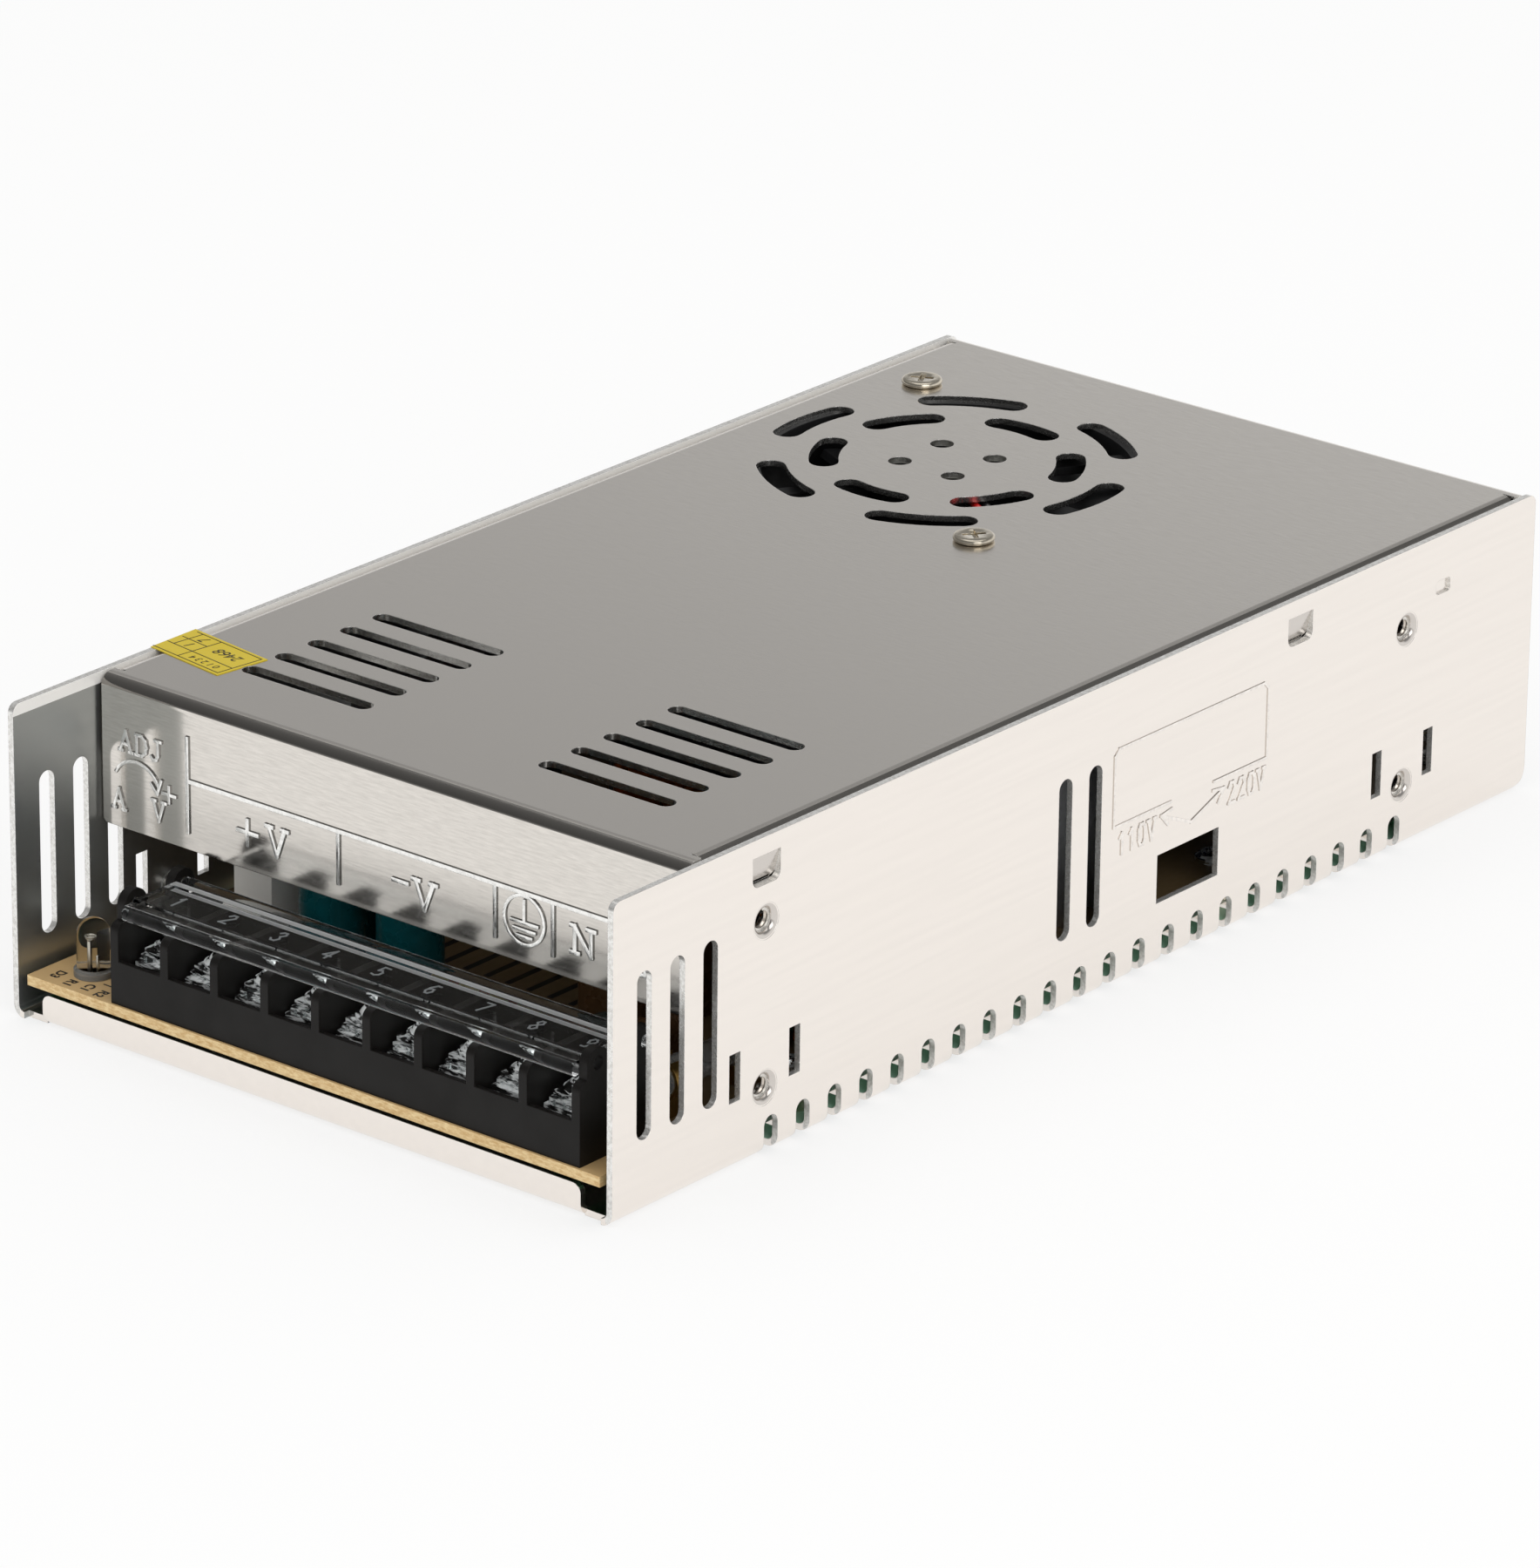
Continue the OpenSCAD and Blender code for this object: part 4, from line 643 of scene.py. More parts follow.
        # Lower front flange darkened, more to the right: painted reflection of the dark terminal block
        base = cover.blend(cover.both(front, foot, right), base, shaded(look.cover, 0.47))
        # Bends darkened: painted shade standing in for the darker surroundings they reflect
        base = cover.blend(bend, base, shaded(look.cover, 0.34))
        duller = [(flat, 0.09), (cut, 0.14)]
        self.finish(cover, look, base, streak, cut, (0.08, 0.15), duller, 2.6 * MICRON)
        return cover

    def finish(self, made, look, base, streak, cut, rough, duller, depth):
        """Brushed metal with faintly torn, bright cut edges."""
        speck = made.noise(2200, 3)
        edge = made.blend(made.spread(speck, 0.4, 0.62), tuple(look.cut), tuple(look.torn))
        made.colour(made.blend(cut, base, edge))
        made.roughness(streak, *rough, *duller)
        made.put(Metallic=1.0).relief(0.15 * MM, (streak, depth), (made.both(speck, cut), 2.5 * MICRON))


class SUPPLY_OT_fastenings(bpy.types.Operator):
    """Plated screws, clamps, contacts and nuts"""

    bl_idname = "supply.fastenings"
    bl_label = "Fastenings"

    def execute(self, context):
        look = context.scene.supply_parts
        zinc = plated("bright_zinc", tuple(look.zinc), (0.04, 0.12), 0.88)
        bands_and_glints = zinc.noise(1.0, 2, stretch=(420, 420, 1900))
        # Metallic falls in bands, so parts of the white zinc show matt white: painted glints
        zinc.drive("Metallic", zinc.spread(bands_and_glints, 0.47, 0.57, 1.0, 0.15))
        zinc.relief(0.1 * MM, (bands_and_glints, 200 * MICRON), (zinc.noise(800, 2), 70 * MICRON))
        wear(zinc, "terminal_clamps", "terminal_screws", "terminal_contacts", "board_screws",
             "heatsink_screws", "cover_screws")
        nickel = plated("warm_nickel", tuple(look.nickel), (0.18, 0.32), 0.74, wobble=30 * MICRON)
        wear(nickel, "fan_nuts", "board_standoffs")
        wear(plated("dull_bronze", tone(184, 148, 84), (0.3, 0.46)), "fan_bearing", "fuse_clips")
        return {"FINISHED"}


class SUPPLY_OT_mouldings(bpy.types.Operator):
    """Black, white and clear mouldings"""

    bl_idname = "supply.mouldings"
    bl_label = "Mouldings"

    def execute(self, context):
        look = context.scene.supply_parts
        block = moulded("satin_block", tuple(look.block), (0.42, 0.55), 0.8, 1400, 6 * MICRON, 0.22 * MM)
        wear(block.put(Specular_IOR_Level=0.2), "terminal_block")
        black = moulded("matt_black", tone(20, 20, 21), (0.45, 0.6))
        wear(black, "trimmer_body", "output_rectifiers", "switching_transistors", "bridge_rectifier",
             "control_chip", "main_transformer_bobbin", "driver_transformer_bobbin")
        white = moulded("white_nylon", tone(236, 234, 226), (0.4, 0.52), 0.92)
        wear(white, "fan_plug", "fan_header", "trimmer_rotor")
        wear(self.fan_plastic(), "fan_frame")
        wear(moulded("fan_black", tone(26, 26, 28), (0.36, 0.5)), "fan_rotor")
        wear(self.red_vinyl(), "fan_lead_red")
        wear(moulded("black_vinyl", tone(26, 26, 28), (0.3, 0.42)), "fan_lead_black")
        wear(self.clear_plastic(), "terminal_cover")
        wear(self.lamp_resin(), "power_lamp")
        return {"FINISHED"}

    def near_hub(self, made, reach):
        """Mask of what lies within a reach of the fan's axis."""
        low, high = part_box("fan_bearing")
        middle = (low + high) / 2
        across = made.calc("SUBTRACT", made.place("X"), middle.x)
        along = made.calc("SUBTRACT", made.place("Y"), middle.y)
        square = made.calc("ADD", made.both(across, across), made.both(along, along))
        return made.below(square, reach ** 2)

    def fan_plastic(self):
        """Black plastic with a pale disc on the hub."""
        disc_radius = 12.2 * MM
        made = moulded("fan_frame_black", tone(20, 20, 21), (0.45, 0.6))
        disc = made.both(self.near_hub(made, disc_radius), made.above(made.facing("Z"), 0.7))
        plastic = made.blend(made.noise(140, 4), tone(20, 20, 21), tone(16, 16, 17))
        return made.colour(made.blend(disc, plastic, tone(212, 212, 208)))

    def red_vinyl(self):
        """Red insulation that is dark where it runs along the hub."""
        dark_reach = 13.5 * MM
        made = moulded("red_vinyl", tone(200, 26, 24), (0.3, 0.42))
        insulation = made.blend(made.noise(140, 4), tone(200, 26, 24), tone(178, 22, 20))
        return made.colour(made.blend(self.near_hub(made, dark_reach), insulation, tone(30, 30, 31)))

    def clear_plastic(self):
        """Clear plastic with one frosted strip along its top."""
        strip_front, strip_rear = -96.4 * MM, -94.8 * MM
        made = glassy("clear_cover_plastic", tone(252, 253, 253), tone(244, 246, 246), 1.2)
        frost = made.both(
            made.within(made.place("Y"), strip_front, strip_rear), made.above(made.facing("Z"), 0.5))
        made.roughness(made.noise(900, 3), 0.0, 0.03, (frost, 0.4))
        return made.drive("Transmission Weight", made.spread(frost, 0, 1, 1.0, 0.72))

    def lamp_resin(self):
        """Clear resin, cloudy and uneven in the lamp's foot."""
        foot_height = 1.35 * MM
        made = glassy("clear_lamp_resin", tone(252, 250, 244), tone(240, 237, 228), 1.12)
        foot = made.below(made.place("Z"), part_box("power_lamp")[0].z + foot_height)
        made.drive("Transmission Weight", made.spread(foot, 0, 1, 1.0, 0.78))
        lumps = made.both(made.noise(900, 2), foot)
        return made.relief(0.2 * MM, (made.noise(140, 2), 4 * MICRON), (lumps, 120 * MICRON))


class SUPPLY_OT_circuit(bpy.types.Operator):
    """Board, coils, cans and the other parts of the circuit"""

    bl_idname = "supply.circuit"
    bl_label = "Circuit"

    def execute(self, context):
        look = context.scene.supply_parts
        wear(self.paper_laminate(look), "circuit_board")
        cement = moulded("white_cement", tone(252, 250, 245), (0.6, 0.75), 0.9, 500, 40 * MICRON)
        wear(cement, "load_resistor")
        wear(coated("teal_sleeve", tuple(look.sleeve)), "output_capacitors")
        wear(coated("dark_sleeve", tone(42, 48, 62)), "bulk_capacitors", "small_capacitors")
        wire = plated("enamelled_copper", tuple(look.copper), (0.24, 0.4), 0.62)
        wear(wire, "output_choke_winding", "line_choke_winding", "main_transformer_winding")
        wear(coated("yellow_core", tone(214, 196, 120), (0.4, 0.55)), "output_choke_core")
        wear(coated("green_core", tone(44, 92, 66), (0.4, 0.55)), "line_choke_core")
        ferrite = moulded("grey_ferrite", tone(66, 66, 70), (0.5, 0.66), 0.75, 700, 30 * MICRON)
        wear(ferrite, "main_transformer_core", "driver_transformer_core")
        wear(coated("yellow_film", tone(222, 182, 54)), "driver_transformer_winding")
        extruded = plated("extruded_aluminium", tone(196, 197, 198), (0.36, 0.5), 0.9)
        wear(extruded, "output_heatsink", "input_heatsink")
        wear(plated("varnished_iron", tone(120, 92, 66), (0.4, 0.55)), "fan_stator")
        wear(coated("brown_dip", tone(104, 76, 50)), "safety_capacitors", "line_capacitor")
        wear(coated("dark_dip", tone(48, 56, 50)), "inrush_thermistor")
        wear(coated("red_dip", tone(158, 44, 34)), "coupling_capacitor")
        wear(coated("tan_lacquer", tone(206, 178, 136)), "small_resistors")
        wear(glassy("fuse_glass", tone(246, 248, 248), tone(224, 228, 228), 1.5, (0.04, 0.12), 0.85), "fuse")
        paper = moulded("yellow_paper", tuple(look.label), (0.42, 0.55), 0.95, 2400, 6 * MICRON, 0.03 * MM)
        wear(paper, "seal_label")
        return {"FINISHED"}

    def paper_laminate(self, look):
        """Tan laminate, darkened under the cover as painted shade, with pale sawn edges and tinned copper
        below.
        """
        bay_rear, tinned_half = -88 * MM, 45 * MM
        board = Finish("paper_laminate")
        fibre = board.noise(1.0, 4, stretch=(900, 240, 2600), rough=0.7)
        blotch = board.spread(board.noise(70, 3), 0.35, 0.7)
        upward = board.facing("Z")
        face = board.blend(blotch, tuple(look.board), shaded(look.board, 0.86))
        # Board behind the bay, under the cover, darkened: painted shade
        face = board.blend(board.above(board.place("Y"), bay_rear), face, shaded(look.board, 0.26))
        edge = board.blend(board.spread(fibre, 0.35, 0.65), tone(238, 212, 160), tone(206, 168, 110))
        base = board.blend(board.spread(board.calc("ABSOLUTE", upward), 0.4, 0.6), edge, face)
        under = board.below(upward, -0.5)
        tinned = board.below(board.calc("ABSOLUTE", board.place("X")), tinned_half)
        solder = board.blend(tinned, tuple(look.mask), tone(216, 216, 210))
        board.colour(board.blend(under, base, solder))
        board.drive("Metallic", board.calc("MULTIPLY", under, 0.75))
        return board.roughness(fibre, 0.4, 0.58).relief(0.1 * MM, (fibre, 20 * MICRON))


class SUPPLY_OT_flange_marks(bpy.types.Operator):
    """Stamped lines, letters and signs on the cover's front flange"""

    bl_idname = "supply.flange_marks"
    bl_label = "Flange Marks"

    def execute(self, context):
        size = context.scene.supply_marks
        bars = self.fields(size) + self.adjuster(size) + self.poles(size) + self.earth(size)
        marks = rounded(fused(bars, "flange_marks"), size.rise * 0.7)
        hung(marks, Matrix.Translation((0, COVER_LOW.y, 0)) @ Matrix.Rotation(math.pi / 2, 4, "X"))
        # Pale top and darkened sides of the flange marks: painted highlight and painted shade
        dress(marks, "body", stamped("stamped_flange", "Y", tone(250, 249, 246), 0.5, 0.36))
        return {"FINISHED"}

    def fields(self, size):
        """Lines that part the flange into fields, in millimetres from the middle and from the bottom."""
        left, right, low, middle, high = -38.1, 53.6, 28.0, 35.8, 42.3
        divider_low, dividers = 27.9, (-9.2, 20.1, 30.75, 41.6)
        lines = [((left, low), (left, high)), ((left, middle), (right, middle))]
        lines += [((x, divider_low), (x, middle)) for x in dividers]
        return [stroke(first, last, size.line, size.rise) for first, last in lines]

    def adjuster(self, size):
        """The trimmer's letters, and an arrow from less to more."""
        fine, tall, high = size.fine, size.rise, size.small_letter / MM
        word_base, unit_base, wide = 37.3, 28.1, 2.3
        bars = []
        for name, left in (("A", -51.2), ("D", -48.1), ("J", -45.4)):
            bars += letter(name, left, word_base, wide, high, fine, tall)
        bars += arc((-48.0, 31.4), 4.7, 149, 26, fine, tall)
        bars += chain([(-45.2, 33.5), (-44.0, 32.2), (-43.2, 34.4)], fine, tall)
        bars += letter("+", -42.9, 31.5, 2.4, 2.4, fine, tall)
        for name, left in (("A", -52.7), ("V", -44.9)):
            bars += letter(name, left, unit_base, wide, high, fine, tall)
        return bars

    def poles(self, size):
        """Letters of the poles: each with its left edge, base line, width and height."""
        high = size.letter / MM
        letters = (
            ("+", -28.4, 29.1, 3.7, 3.7), ("V", -22.6, 28.8, 3.4, high),
            ("-", 1.2, 29.8, 2.6, 3.0), ("V", 5.2, 28.2, 3.7, high),
            ("N", 34.4, 29.4, 3.7, high - 0.2), ("L", 45.0, 29.4, 3.0, high - 0.2))
        bars = []
        for row in letters:
            bars += letter(*row, size.stroke, size.rise)
        return bars

    def earth(self, size):
        """The earth sign in a ring."""
        fine, tall = size.fine, size.rise
        x, ring_z, ring_radius, stem_top = 25.5, 31.7, 3.65, 34.6
        rungs = ((2.4, 31.3), (1.9, 30.2), (1.3, 29.2))
        bars = arc((x, ring_z), ring_radius, 0, 360, fine, tall, 36)
        bars.append(stroke((x, rungs[0][1]), (x, stem_top), fine, tall))
        for half, z in rungs:
            bars.append(stroke((x - half, z), (x + half, z), fine, tall))
        return bars


class SUPPLY_OT_wall_marks(bpy.types.Operator):
    """Stamped frame, arrow and voltages over the selector window"""

    bl_idname = "supply.wall_marks"
    bl_label = "Wall Marks"

    def execute(self, context):
        size = context.scene.supply_marks
        width, tall = size.fine, size.rise * 0.6
        bars = self.panel(width * 0.8, tall) + self.arrow(width, tall)
        base, wide, high, pitch = 20.5, 1.75, 3.2, 2.35
        for text, begin in (("110V", 4.8), ("220V", 31.2)):
            for i, name in enumerate(text):
                bars += letter(name, begin + pitch * i, base, wide, high, width, tall)
        marks = rounded(fused(bars, "wall_marks"), tall * 0.7)
        turned = Matrix(((0, 0, 1), (1, 0, 0), (0, 1, 0))).to_4x4()
        hung(marks, Matrix.Translation((CASE_HIGH.x, 0, 0)) @ turned)
        # Pale top and darkened sides of the wall marks: painted highlight and painted shade
        dress(marks, "body", stamped("stamped_wall", "X", tone(248, 242, 236), 0.6, 0.8))
        return {"FINISHED"}

    def panel(self, width, tall):
        """A frame with two clipped corners, open below for the arrow."""
        near, far, sill, head, clip = 3.6, 40.4, 25.1, 37.1, 1
        gap_near, gap_far = 17.3, 27.6
        return chain([
            (gap_near, sill), (near, sill), (near, head - clip), (near + clip, head), (far - clip, head),
            (far, head - clip), (far, sill), (gap_far, sill)], width, tall)

    def arrow(self, width, tall):
        """A bent line over the window, with a head at each end."""
        near, bend, far = (15.0, 23.5), (22.3, 20.4), (30.2, 23.4)
        bars = chain([near, bend, far], width, tall)
        bars += chain([(17.5, 23.9), near, (16.6, 21.8)], width, tall)
        bars += chain([(27.5, 23.7), far, (28.8, 21.5)], width, tall)
        return bars


class SUPPLY_OT_cover_numbers(bpy.types.Operator):
    """Raised numbers on the clear cover"""

    bl_idname = "supply.cover_numbers"
    bl_label = "Cover Numbers"

    def execute(self, context):
        size = context.scene.supply_marks
        poles, pitch, shift = 9, 9.6, 0.6
        row, top = -99.8, 22.0 * MM
        width, tall = 0.3 * MM, 0.1 * MM
        block_low, block_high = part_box("terminal_block")
        middle = (block_low.x + block_high.x) / 2 / MM
        high = size.number / MM
        wide = 0.5 * high
        bars = []
        for i in range(poles):
            left = middle + (i - (poles - 1) / 2) * pitch + shift
            bars += letter(str(i + 1), left, row - high / 2, wide, high, width, tall)
        numbers = hung(fused(bars, "cover_numbers"), Matrix.Translation((0, 0, top)))
        frost = Finish("frosted_number")
        haze = frost.noise(2000, 3)
        frost.colour(frost.blend(haze, tone(170, 174, 176), tone(130, 134, 136)))
        frost.roughness(haze, 0.3, 0.5).put(Transmission_Weight=0.4, IOR=1.4)
        dress(numbers, "clear_cover", frost.relief(0.04 * MM, (haze, 10 * MICRON)))
        return {"FINISHED"}


class SUPPLY_OT_label_print(bpy.types.Operator):
    """Grid and numbers on the paper seal"""

    bl_idname = "supply.label_print"
    bl_label = "Label Print"

    def execute(self, context):
        look = context.scene.supply_parts
        tall = context.scene.supply_marks.ink
        along, turn, paper, line_width = -73.0 * MM, -8, 0.1 * MM, 0.17 * MM
        lines = fused(self.grid(line_width, tall), "label_print")
        # Each number: its text, height, place and slant; all are read from the rear
        numbers = (("1", 2.5, (3.8, 0.0), 0.2), ("7", 2.5, (3.8, 2.8), 0.2), ("2468", 2.7, (10.7, 1.5), 0.15),
                   ("0 1 2 3 4", 1.7, (10.5, -2.75), 0.1))
        words = [written(text, high * MM, tall, at, slant, 180) for text, high, at, slant in numbers]
        printed = joined([lines, *words], "label_print")
        turned = Matrix.Rotation(math.radians(turn), 4, "Z")
        hung(printed, Matrix.Translation((CASE_LOW.x, along, CASE_HIGH.z + paper)) @ turned)
        ink = moulded("label_ink", tuple(look.ink), (0.5, 0.62), 0.8, 3000, 3 * MICRON, 0.01 * MM)
        dress(printed, "body", ink)
        return {"FINISHED"}

    def grid(self, width, tall):
        """Lines of the seal, in millimetres from the wall's outside and from the seal's middle."""
        left, right, front, rear = 0.4, 15.0, -4.1, 4.1
        strip, split, cells, narrow = -1.4, 5.9, 1.4, 1.7
        bars = chain([(left, front), (right, front), (right, rear), (left, rear)], width, tall)
        bars.append(stroke((split, front), (split, rear), width, tall))
        bars.append(stroke((left, strip), (right, strip), width, tall))
        bars.append(stroke((narrow, strip), (narrow, rear), width, tall))
        bars.append(stroke((left, cells), (split, cells), width, tall))
        return bars


class SUPPLY_OT_board_print(bpy.types.Operator):
    """Printed outlines and bars on the board"""

    bl_idname = "supply.board_print"
    bl_label = "Board Print"

    def execute(self, context):
        look = context.scene.supply_parts
        tall = context.scene.supply_marks.ink
        bar_count, bar_start, bar_pitch, bar_front, bar_rear = 8, -16, 4.0, -64, -55
        bar_width, line_width = 1.1 * MM, 0.3 * MM
        letter_height, letter_bold = 2.1 * MM, 0.07 * MM
        names = (
            ("C1", (-44.2, -105.0)), ("R2", (-41.2, -105.4)),
            ("D3", (-50.8, -104.2)), ("R1", (-47.4, -105.4)))
        bars = []
        for i in range(bar_count):
            x = bar_start + bar_pitch * i
            bars.append(stroke((x, bar_front), (x, bar_rear), bar_width, tall))
        bars += chain([(-43.2, -102.6), (-41.6, -102.6), (-40.6, -101.2), (-41.6, -99.8)], line_width, tall)
        lines = fused(bars, "board_print")
        words = [written(text, letter_height, tall, at, 0.0, -90, letter_bold) for text, at in names]
        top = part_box("circuit_board")[1].z
        printed = hung(joined([lines, *words], "board_print"), Matrix.Translation((0, 0, top)))
        ink = moulded("board_ink", tuple(look.ink), (0.5, 0.6), 0.8, 3000, 3 * MICRON, 0.01 * MM)
        dress(printed, "body", ink)
        return {"FINISHED"}


class SUPPLY_OT_lamp_core(bpy.types.Operator):
    """Posts and cup that show inside the clear lamp"""

    bl_idname = "supply.lamp_core"
    bl_label = "Lamp Core"

    def execute(self, context):
        low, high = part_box("power_lamp")
        middle = (low + high) / 2
        post_offset, post_thick = 0.7 * MM, 0.4 * MM
        cup_offset, cup_height = -0.5 * MM, 5.5 * MM
        pieces = []
        for side, wide, top in ((-1, 0.5 * MM, 5.3 * MM), (1, 0.3 * MM, 3.2 * MM)):
            start()
            bpy.ops.mesh.primitive_cube_add(
                size=1, location=(middle.x + side * post_offset, middle.y, low.z + top / 2),
                scale=(wide, post_thick, top))
            pieces.append(settled(bpy.context.object))
        pieces.append(self.cup((middle.x + cup_offset, middle.y, low.z + cup_height)))
        core = rounded(joined(pieces, "lamp_core"), 0.05 * MM)
        dress(core, "body", plated("lamp_lead_metal", tone(208, 206, 200), (0.2, 0.36)))
        return {"FINISHED"}

    def cup(self, place):
        """A small cup that widens upwards."""
        foot, rim, depth, wall, floor_drop = 0.4 * MM, 0.8 * MM, 0.7 * MM, 0.15 * MM, 0.4 * MM
        start()
        bpy.ops.mesh.primitive_cone_add(
            vertices=24, radius1=foot, radius2=rim, depth=depth, end_fill_type="NGON", location=place)
        cup = bpy.context.object
        bpy.ops.object.mode_set(mode="EDIT")
        bpy.ops.mesh.select_mode(type="FACE")
        bpy.ops.mesh.select_all(action="DESELECT")
        bpy.ops.object.mode_set(mode="OBJECT")
        top_face = max(cup.data.polygons, key=lambda face: face.center.z)
        top_face.select = True
        bpy.ops.object.mode_set(mode="EDIT")
        bpy.ops.mesh.inset(thickness=wall)
        bpy.ops.mesh.extrude_region_move(TRANSFORM_OT_translate={"value": (0, 0, -floor_drop)})
        bpy.ops.object.mode_set(mode="OBJECT")
        return settled(cup)


class SUPPLY_OT_fan_heads(bpy.types.Operator):
    """Fan screws with low, wide heads and a cross recess"""

    bl_idname = "supply.fan_heads"
    bl_label = "Fan Screws"

    def execute(self, context):
        look = context.scene.supply_parts
        roof = COVER_HIGH.z
        inset = 3.0 * MM
        low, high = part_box("fan_screws")
        first = self.screw(roof - low.z)
        pick([first])
        bpy.ops.object.duplicate()
        second = bpy.context.object
        rear_left = Matrix.Translation((low.x + inset, high.y - inset, roof))
        front_right = Matrix.Translation((high.x - inset, low.y + inset, roof))
        hung(first, rear_left @ Matrix.Rotation(0.5, 4, "Z"))
        hung(second, front_right @ Matrix.Rotation(0.9, 4, "Z"))
        screws = joined([first, second], "fan_screw_heads")
        nickel = plated("bright_nickel", tuple(look.nickel), (0.12, 0.26), 0.7, wobble=30 * MICRON)
        dress(screws, "body", nickel)
        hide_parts("fan_screws")
        return {"FINISHED"}

    def screw(self, length):
        """One screw on the axis, its head on the ground and its shank below."""
        radius, rise, shank = 3.2 * MM, 1.0 * MM, 1.5 * MM
        recess_half, recess_width, recess_floor = 1.4, 0.8 * MM, 0.35 * rise
        start()
        bpy.ops.mesh.primitive_cylinder_add(vertices=48, radius=radius, depth=rise, location=(0, 0, rise / 2))
        head = rounded(settled(bpy.context.object), 0.55 * rise, 5)
        bars = [stroke((-recess_half, 0), (recess_half, 0), recess_width, rise),
                stroke((0, -recess_half), (0, recess_half), recess_width, rise)]
        cross = hung(fused(bars, "cross_tool"), Matrix.Translation((0, 0, recess_floor)))
        combined(head, cross, "DIFFERENCE")
        start()
        bpy.ops.mesh.primitive_cylinder_add(
            vertices=24, radius=shank, depth=length, location=(0, 0, -length / 2))
        return rounded(joined([head, settled(bpy.context.object)], "fan_screw_heads"), 0.06 * MM)


class SUPPLY_OT_threads(bpy.types.Operator):
    """Thread turns in the drawn side and bottom holes"""

    bl_idname = "supply.threads"
    bl_label = "Hole Threads"

    def execute(self, context):
        along, side_rows, bottom_half = 75 * MM, (10.3 * MM, 35.3 * MM), 25 * MM
        sink = 0.9 * MM
        places = []
        for side in (-1, 1):
            turned = Matrix.Rotation(side * -math.pi / 2, 4, "Y")
            for y in (-along, along):
                for z in side_rows:
                    places.append(Matrix.Translation((side * CASE_HIGH.x, y, z)) @ turned)
        for x in (-bottom_half, bottom_half):
            for y in (-along, along):
                places.append(Matrix.Translation((x, y, 0)))
        ridge = self.ridge()
        copies = []
        for place in places:
            pick([ridge])
            bpy.ops.object.duplicate()
            copies.append(hung(bpy.context.object, place @ Matrix.Translation((0, 0, sink))))
        pick([ridge])
        bpy.ops.object.delete()
        threads = joined(copies, "hole_threads")
        bpy.ops.object.shade_smooth_by_angle(angle=math.radians(30))
        dress(threads, "body", plated("cut_thread", tone(226, 222, 216), (0.1, 0.22)))
        return {"FINISHED"}

    def ridge(self):
        """The ridge of one thread, wound round the axis."""
        radius, depth, sunk, pitch, turns = 1.65 * MM, 0.3 * MM, 0.06 * MM, 0.7 * MM, 2
        start()
        bpy.ops.mesh.primitive_circle_add(
            vertices=3, radius=depth, fill_type="NOTHING", location=(0, 0, 0), rotation=(math.pi / 2, 0, 0))
        ridge = bpy.context.object
        ridge.location.x = radius - sunk
        settled(ridge)
        bpy.ops.object.modifier_add(type="SCREW")
        turn = ridge.modifiers[-1]
        turn.axis = "Z"
        turn.angle = 2 * math.pi
        turn.screw_offset = pitch
        turn.iterations = turns
        turn.steps = turn.render_steps = 28
        turn.use_merge_vertices = True
        bpy.ops.object.modifier_apply(modifier=turn.name)
        bpy.ops.object.mode_set(mode="EDIT")
        bpy.ops.mesh.select_all(action="SELECT")
        bpy.ops.mesh.fill_holes(sides=4)
        bpy.ops.mesh.normals_make_consistent(inside=False)
        bpy.ops.object.mode_set(mode="OBJECT")
        return ridge


# Brightness of the tent in mirrors, by the angle above the horizon in degrees, and how its top leans
TENT = (
    (0, 1.0), (12, 0.74), (18, 0.66), (19.3, 0.55), (20.5, 0.43), (22.5, 0.3), (26, 0.28), (45, 0.32),
    (90, 0.42))
LEAN = (-0.21, -0.17, 1.0)


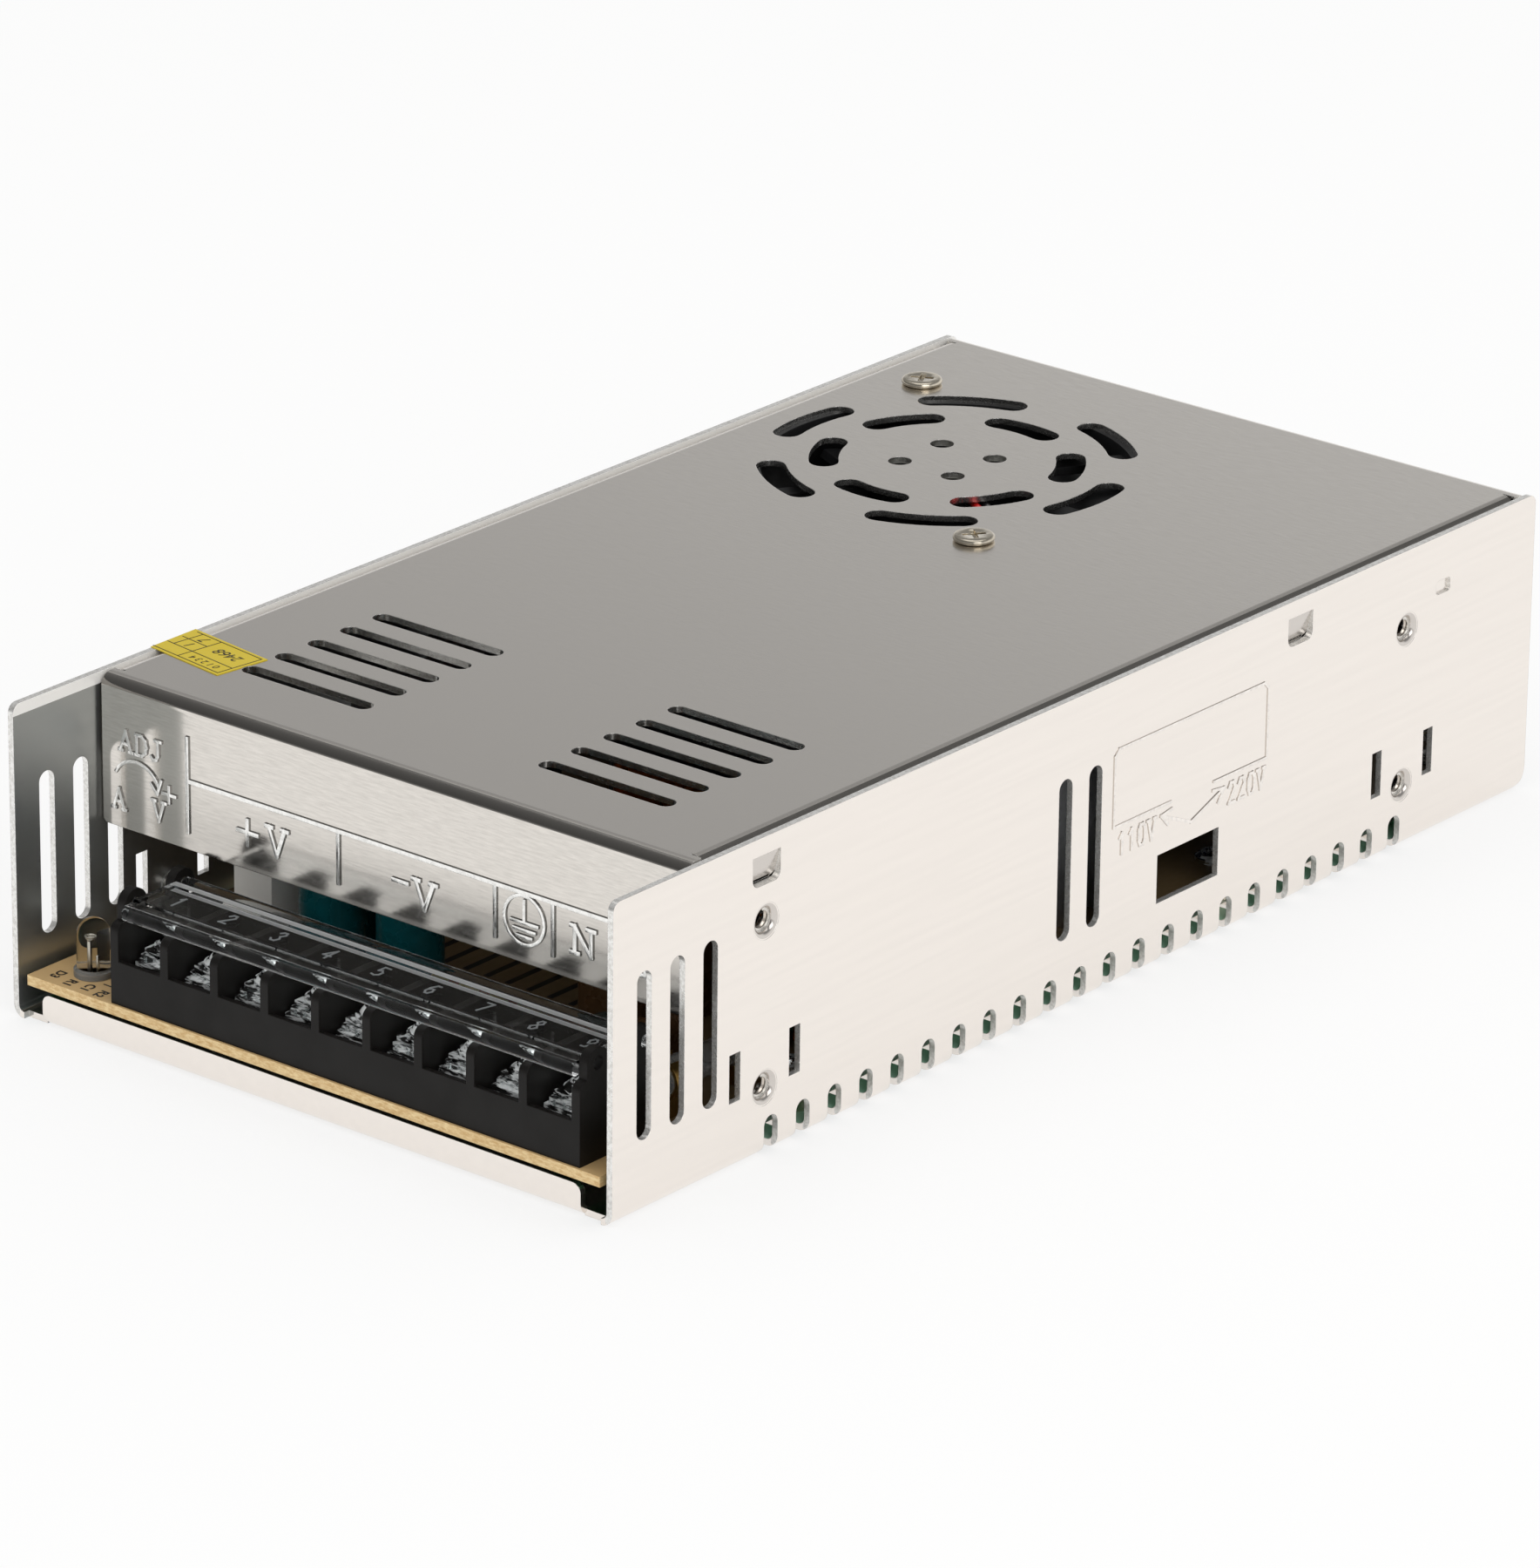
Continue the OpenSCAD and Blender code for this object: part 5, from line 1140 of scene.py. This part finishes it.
class SUPPLY_OT_stage(bpy.types.Operator):
    """Floor, lamps, sky and the photograph's camera"""

    bl_idname = "supply.stage"
    bl_label = "Stage"

    def execute(self, context):
        scene = context.scene
        stage = scene.supply_stage
        scene.view_settings.view_transform = "Standard"
        self.lay_floor(stage)
        self.set_camera(scene, stage)
        self.hang_lamp("key_lamp", stage.key, 1.1, (1.3, -0.7, 0.9))
        self.hang_lamp("top_lamp", stage.top, 1.4, (-0.1, 0.1, 1.5))
        self.open_sky(scene, stage)
        return {"FINISHED"}

    def hang_lamp(self, name, power, size, spot):
        """A square lamp that points at the object, sizes and place in metres."""
        start()
        bpy.ops.object.light_add(type="AREA", location=spot)
        lamp = bpy.context.object
        lamp.name = name
        lamp.data.energy = power
        lamp.data.size = size
        lamp.rotation_euler = (-Vector(spot)).to_track_quat("-Z", "Y").to_euler()

    def lay_floor(self, stage):
        """A matt floor that takes the shadow and shows mostly as even white."""
        floor_side = 8.0
        start()
        bpy.ops.mesh.primitive_plane_add(size=floor_side, location=(0, 0, 0))
        floor = bpy.context.object
        floor.name = "pale_floor"
        ground = Finish("pale_floor_paint")
        cloud = ground.noise(3, 2)
        ground.colour(ground.blend(cloud, tuple(stage.floor), shaded(stage.floor, 0.985)))
        ground.roughness(cloud, 0.8, 0.9).put(Specular_IOR_Level=0.0)
        white = ground.add("ShaderNodeEmission")
        mixed = ground.add("ShaderNodeMixShader")
        through, mirrored = ground.seen()
        shown = ground.calc("ADD", through, mirrored)
        ground.join(ground.calc("MULTIPLY", shown, stage.glow), mixed.inputs[0])
        ground.join(ground.skin.outputs[0], mixed.inputs[1])
        ground.join(white.outputs[0], mixed.inputs[2])
        ground.join(mixed.outputs[0], ground.out.inputs["Surface"])
        floor.data.materials.append(ground.material)

    def set_camera(self, scene, stage):
        """The camera of the photograph, from its angles and its aim."""
        sensor, nearest, furthest = 36, 0.05, 30
        a, e, r = stage.azimuth, stage.elevation, stage.roll
        back = Vector((math.sin(a) * math.cos(e), -math.cos(a) * math.cos(e), math.sin(e)))
        right = Vector((math.cos(a), math.sin(a), 0))
        up = back.cross(right)
        across = math.cos(r) * right + math.sin(r) * up
        rise = -math.sin(r) * right + math.cos(r) * up
        side, height, distance = stage.aim
        start()
        bpy.ops.object.camera_add()
        camera = bpy.context.object
        camera.name = "photo_camera"
        camera.data.sensor_width = sensor
        camera.data.lens = stage.focal * sensor / max(PHOTO)
        camera.data.clip_start, camera.data.clip_end = nearest, furthest
        place = Matrix((across, rise, back)).transposed().to_4x4()
        place.translation = back * distance - across * side - rise * height
        camera.matrix_world = place
        scene.camera = camera

    def open_sky(self, scene, stage):
        """Even light for matt things, white to look at, and a leaning, darkening tent in mirrors."""
        front_share = 0.66
        world = bpy.data.worlds.new("studio_sky")
        scene.world = world
        world.use_nodes = True
        sky = Wiring(world.node_tree)
        through, mirrored = sky.seen()
        ray = sky.add("ShaderNodeTexCoord").outputs["Generated"]
        lean = sky.add("ShaderNodeVectorMath", operation="DOT_PRODUCT")
        lean.inputs[1].default_value = LEAN
        sky.join(ray, lean.inputs[0])
        room = sky.spread(sky.axis(ray, "Y"), -0.3, 0.25, front_share, 1.0)
        tent = sky.add("ShaderNodeValToRGB")
        stops = tent.color_ramp.elements
        ends = {0: 0, 90: -1}
        for angle, level in TENT:
            height = math.sin(math.radians(angle))
            stop = stops[ends[angle]] if angle in ends else stops.new(height)
            stop.position = height
            stop.color = opaque((level, level, level))
        sky.join(lean.outputs["Value"], tent.inputs[0])
        matt = sky.calc("SUBTRACT", sky.calc("SUBTRACT", 1.0, through), mirrored)
        shown = sky.calc("ADD", through, sky.both(mirrored, tent.outputs[0], room))
        strength = sky.calc("ADD", shown, sky.calc("MULTIPLY", matt, stage.sky))
        shine = sky.tree.nodes["Background"]
        shine.inputs["Color"].default_value = opaque((1, 1, 1))
        sky.join(strength, shine.inputs["Strength"])


class SUPPLY_PT_panel(bpy.types.Panel):
    """The supply's pieces, in the order they are made"""

    bl_idname = "SUPPLY_PT_panel"
    bl_label = "Power Supply"
    bl_space_type = "VIEW_3D"
    bl_region_type = "UI"
    bl_category = "Supply"

    def draw(self, context):
        for name in STEPS:
            self.layout.operator("supply." + name)


GROUPS = (
    ("supply_sheet", SheetFinish),
    ("supply_parts", PartFinish),
    ("supply_marks", MarkSizes),
    ("supply_stage", StageSettings),
)
OPERATORS = (
    SUPPLY_OT_sheet, SUPPLY_OT_fastenings, SUPPLY_OT_mouldings, SUPPLY_OT_circuit, SUPPLY_OT_flange_marks,
    SUPPLY_OT_wall_marks, SUPPLY_OT_cover_numbers, SUPPLY_OT_label_print, SUPPLY_OT_board_print,
    SUPPLY_OT_lamp_core, SUPPLY_OT_fan_heads, SUPPLY_OT_threads, SUPPLY_OT_stage,
)
STEPS = [operator.bl_idname.split(".")[1] for operator in OPERATORS]


def register():
    for name, group in GROUPS:
        bpy.utils.register_class(group)
        setattr(bpy.types.Scene, name, bpy.props.PointerProperty(type=group))
    for item in (*OPERATORS, SUPPLY_PT_panel):
        bpy.utils.register_class(item)


def unregister():
    for item in (SUPPLY_PT_panel, *reversed(OPERATORS)):
        bpy.utils.unregister_class(item)
    for name, group in reversed(GROUPS):
        delattr(bpy.types.Scene, name)
        bpy.utils.unregister_class(group)


def main():
    register()
    for name in STEPS:
        getattr(bpy.ops.supply, name)()


if __name__ == "__main__":
    main()
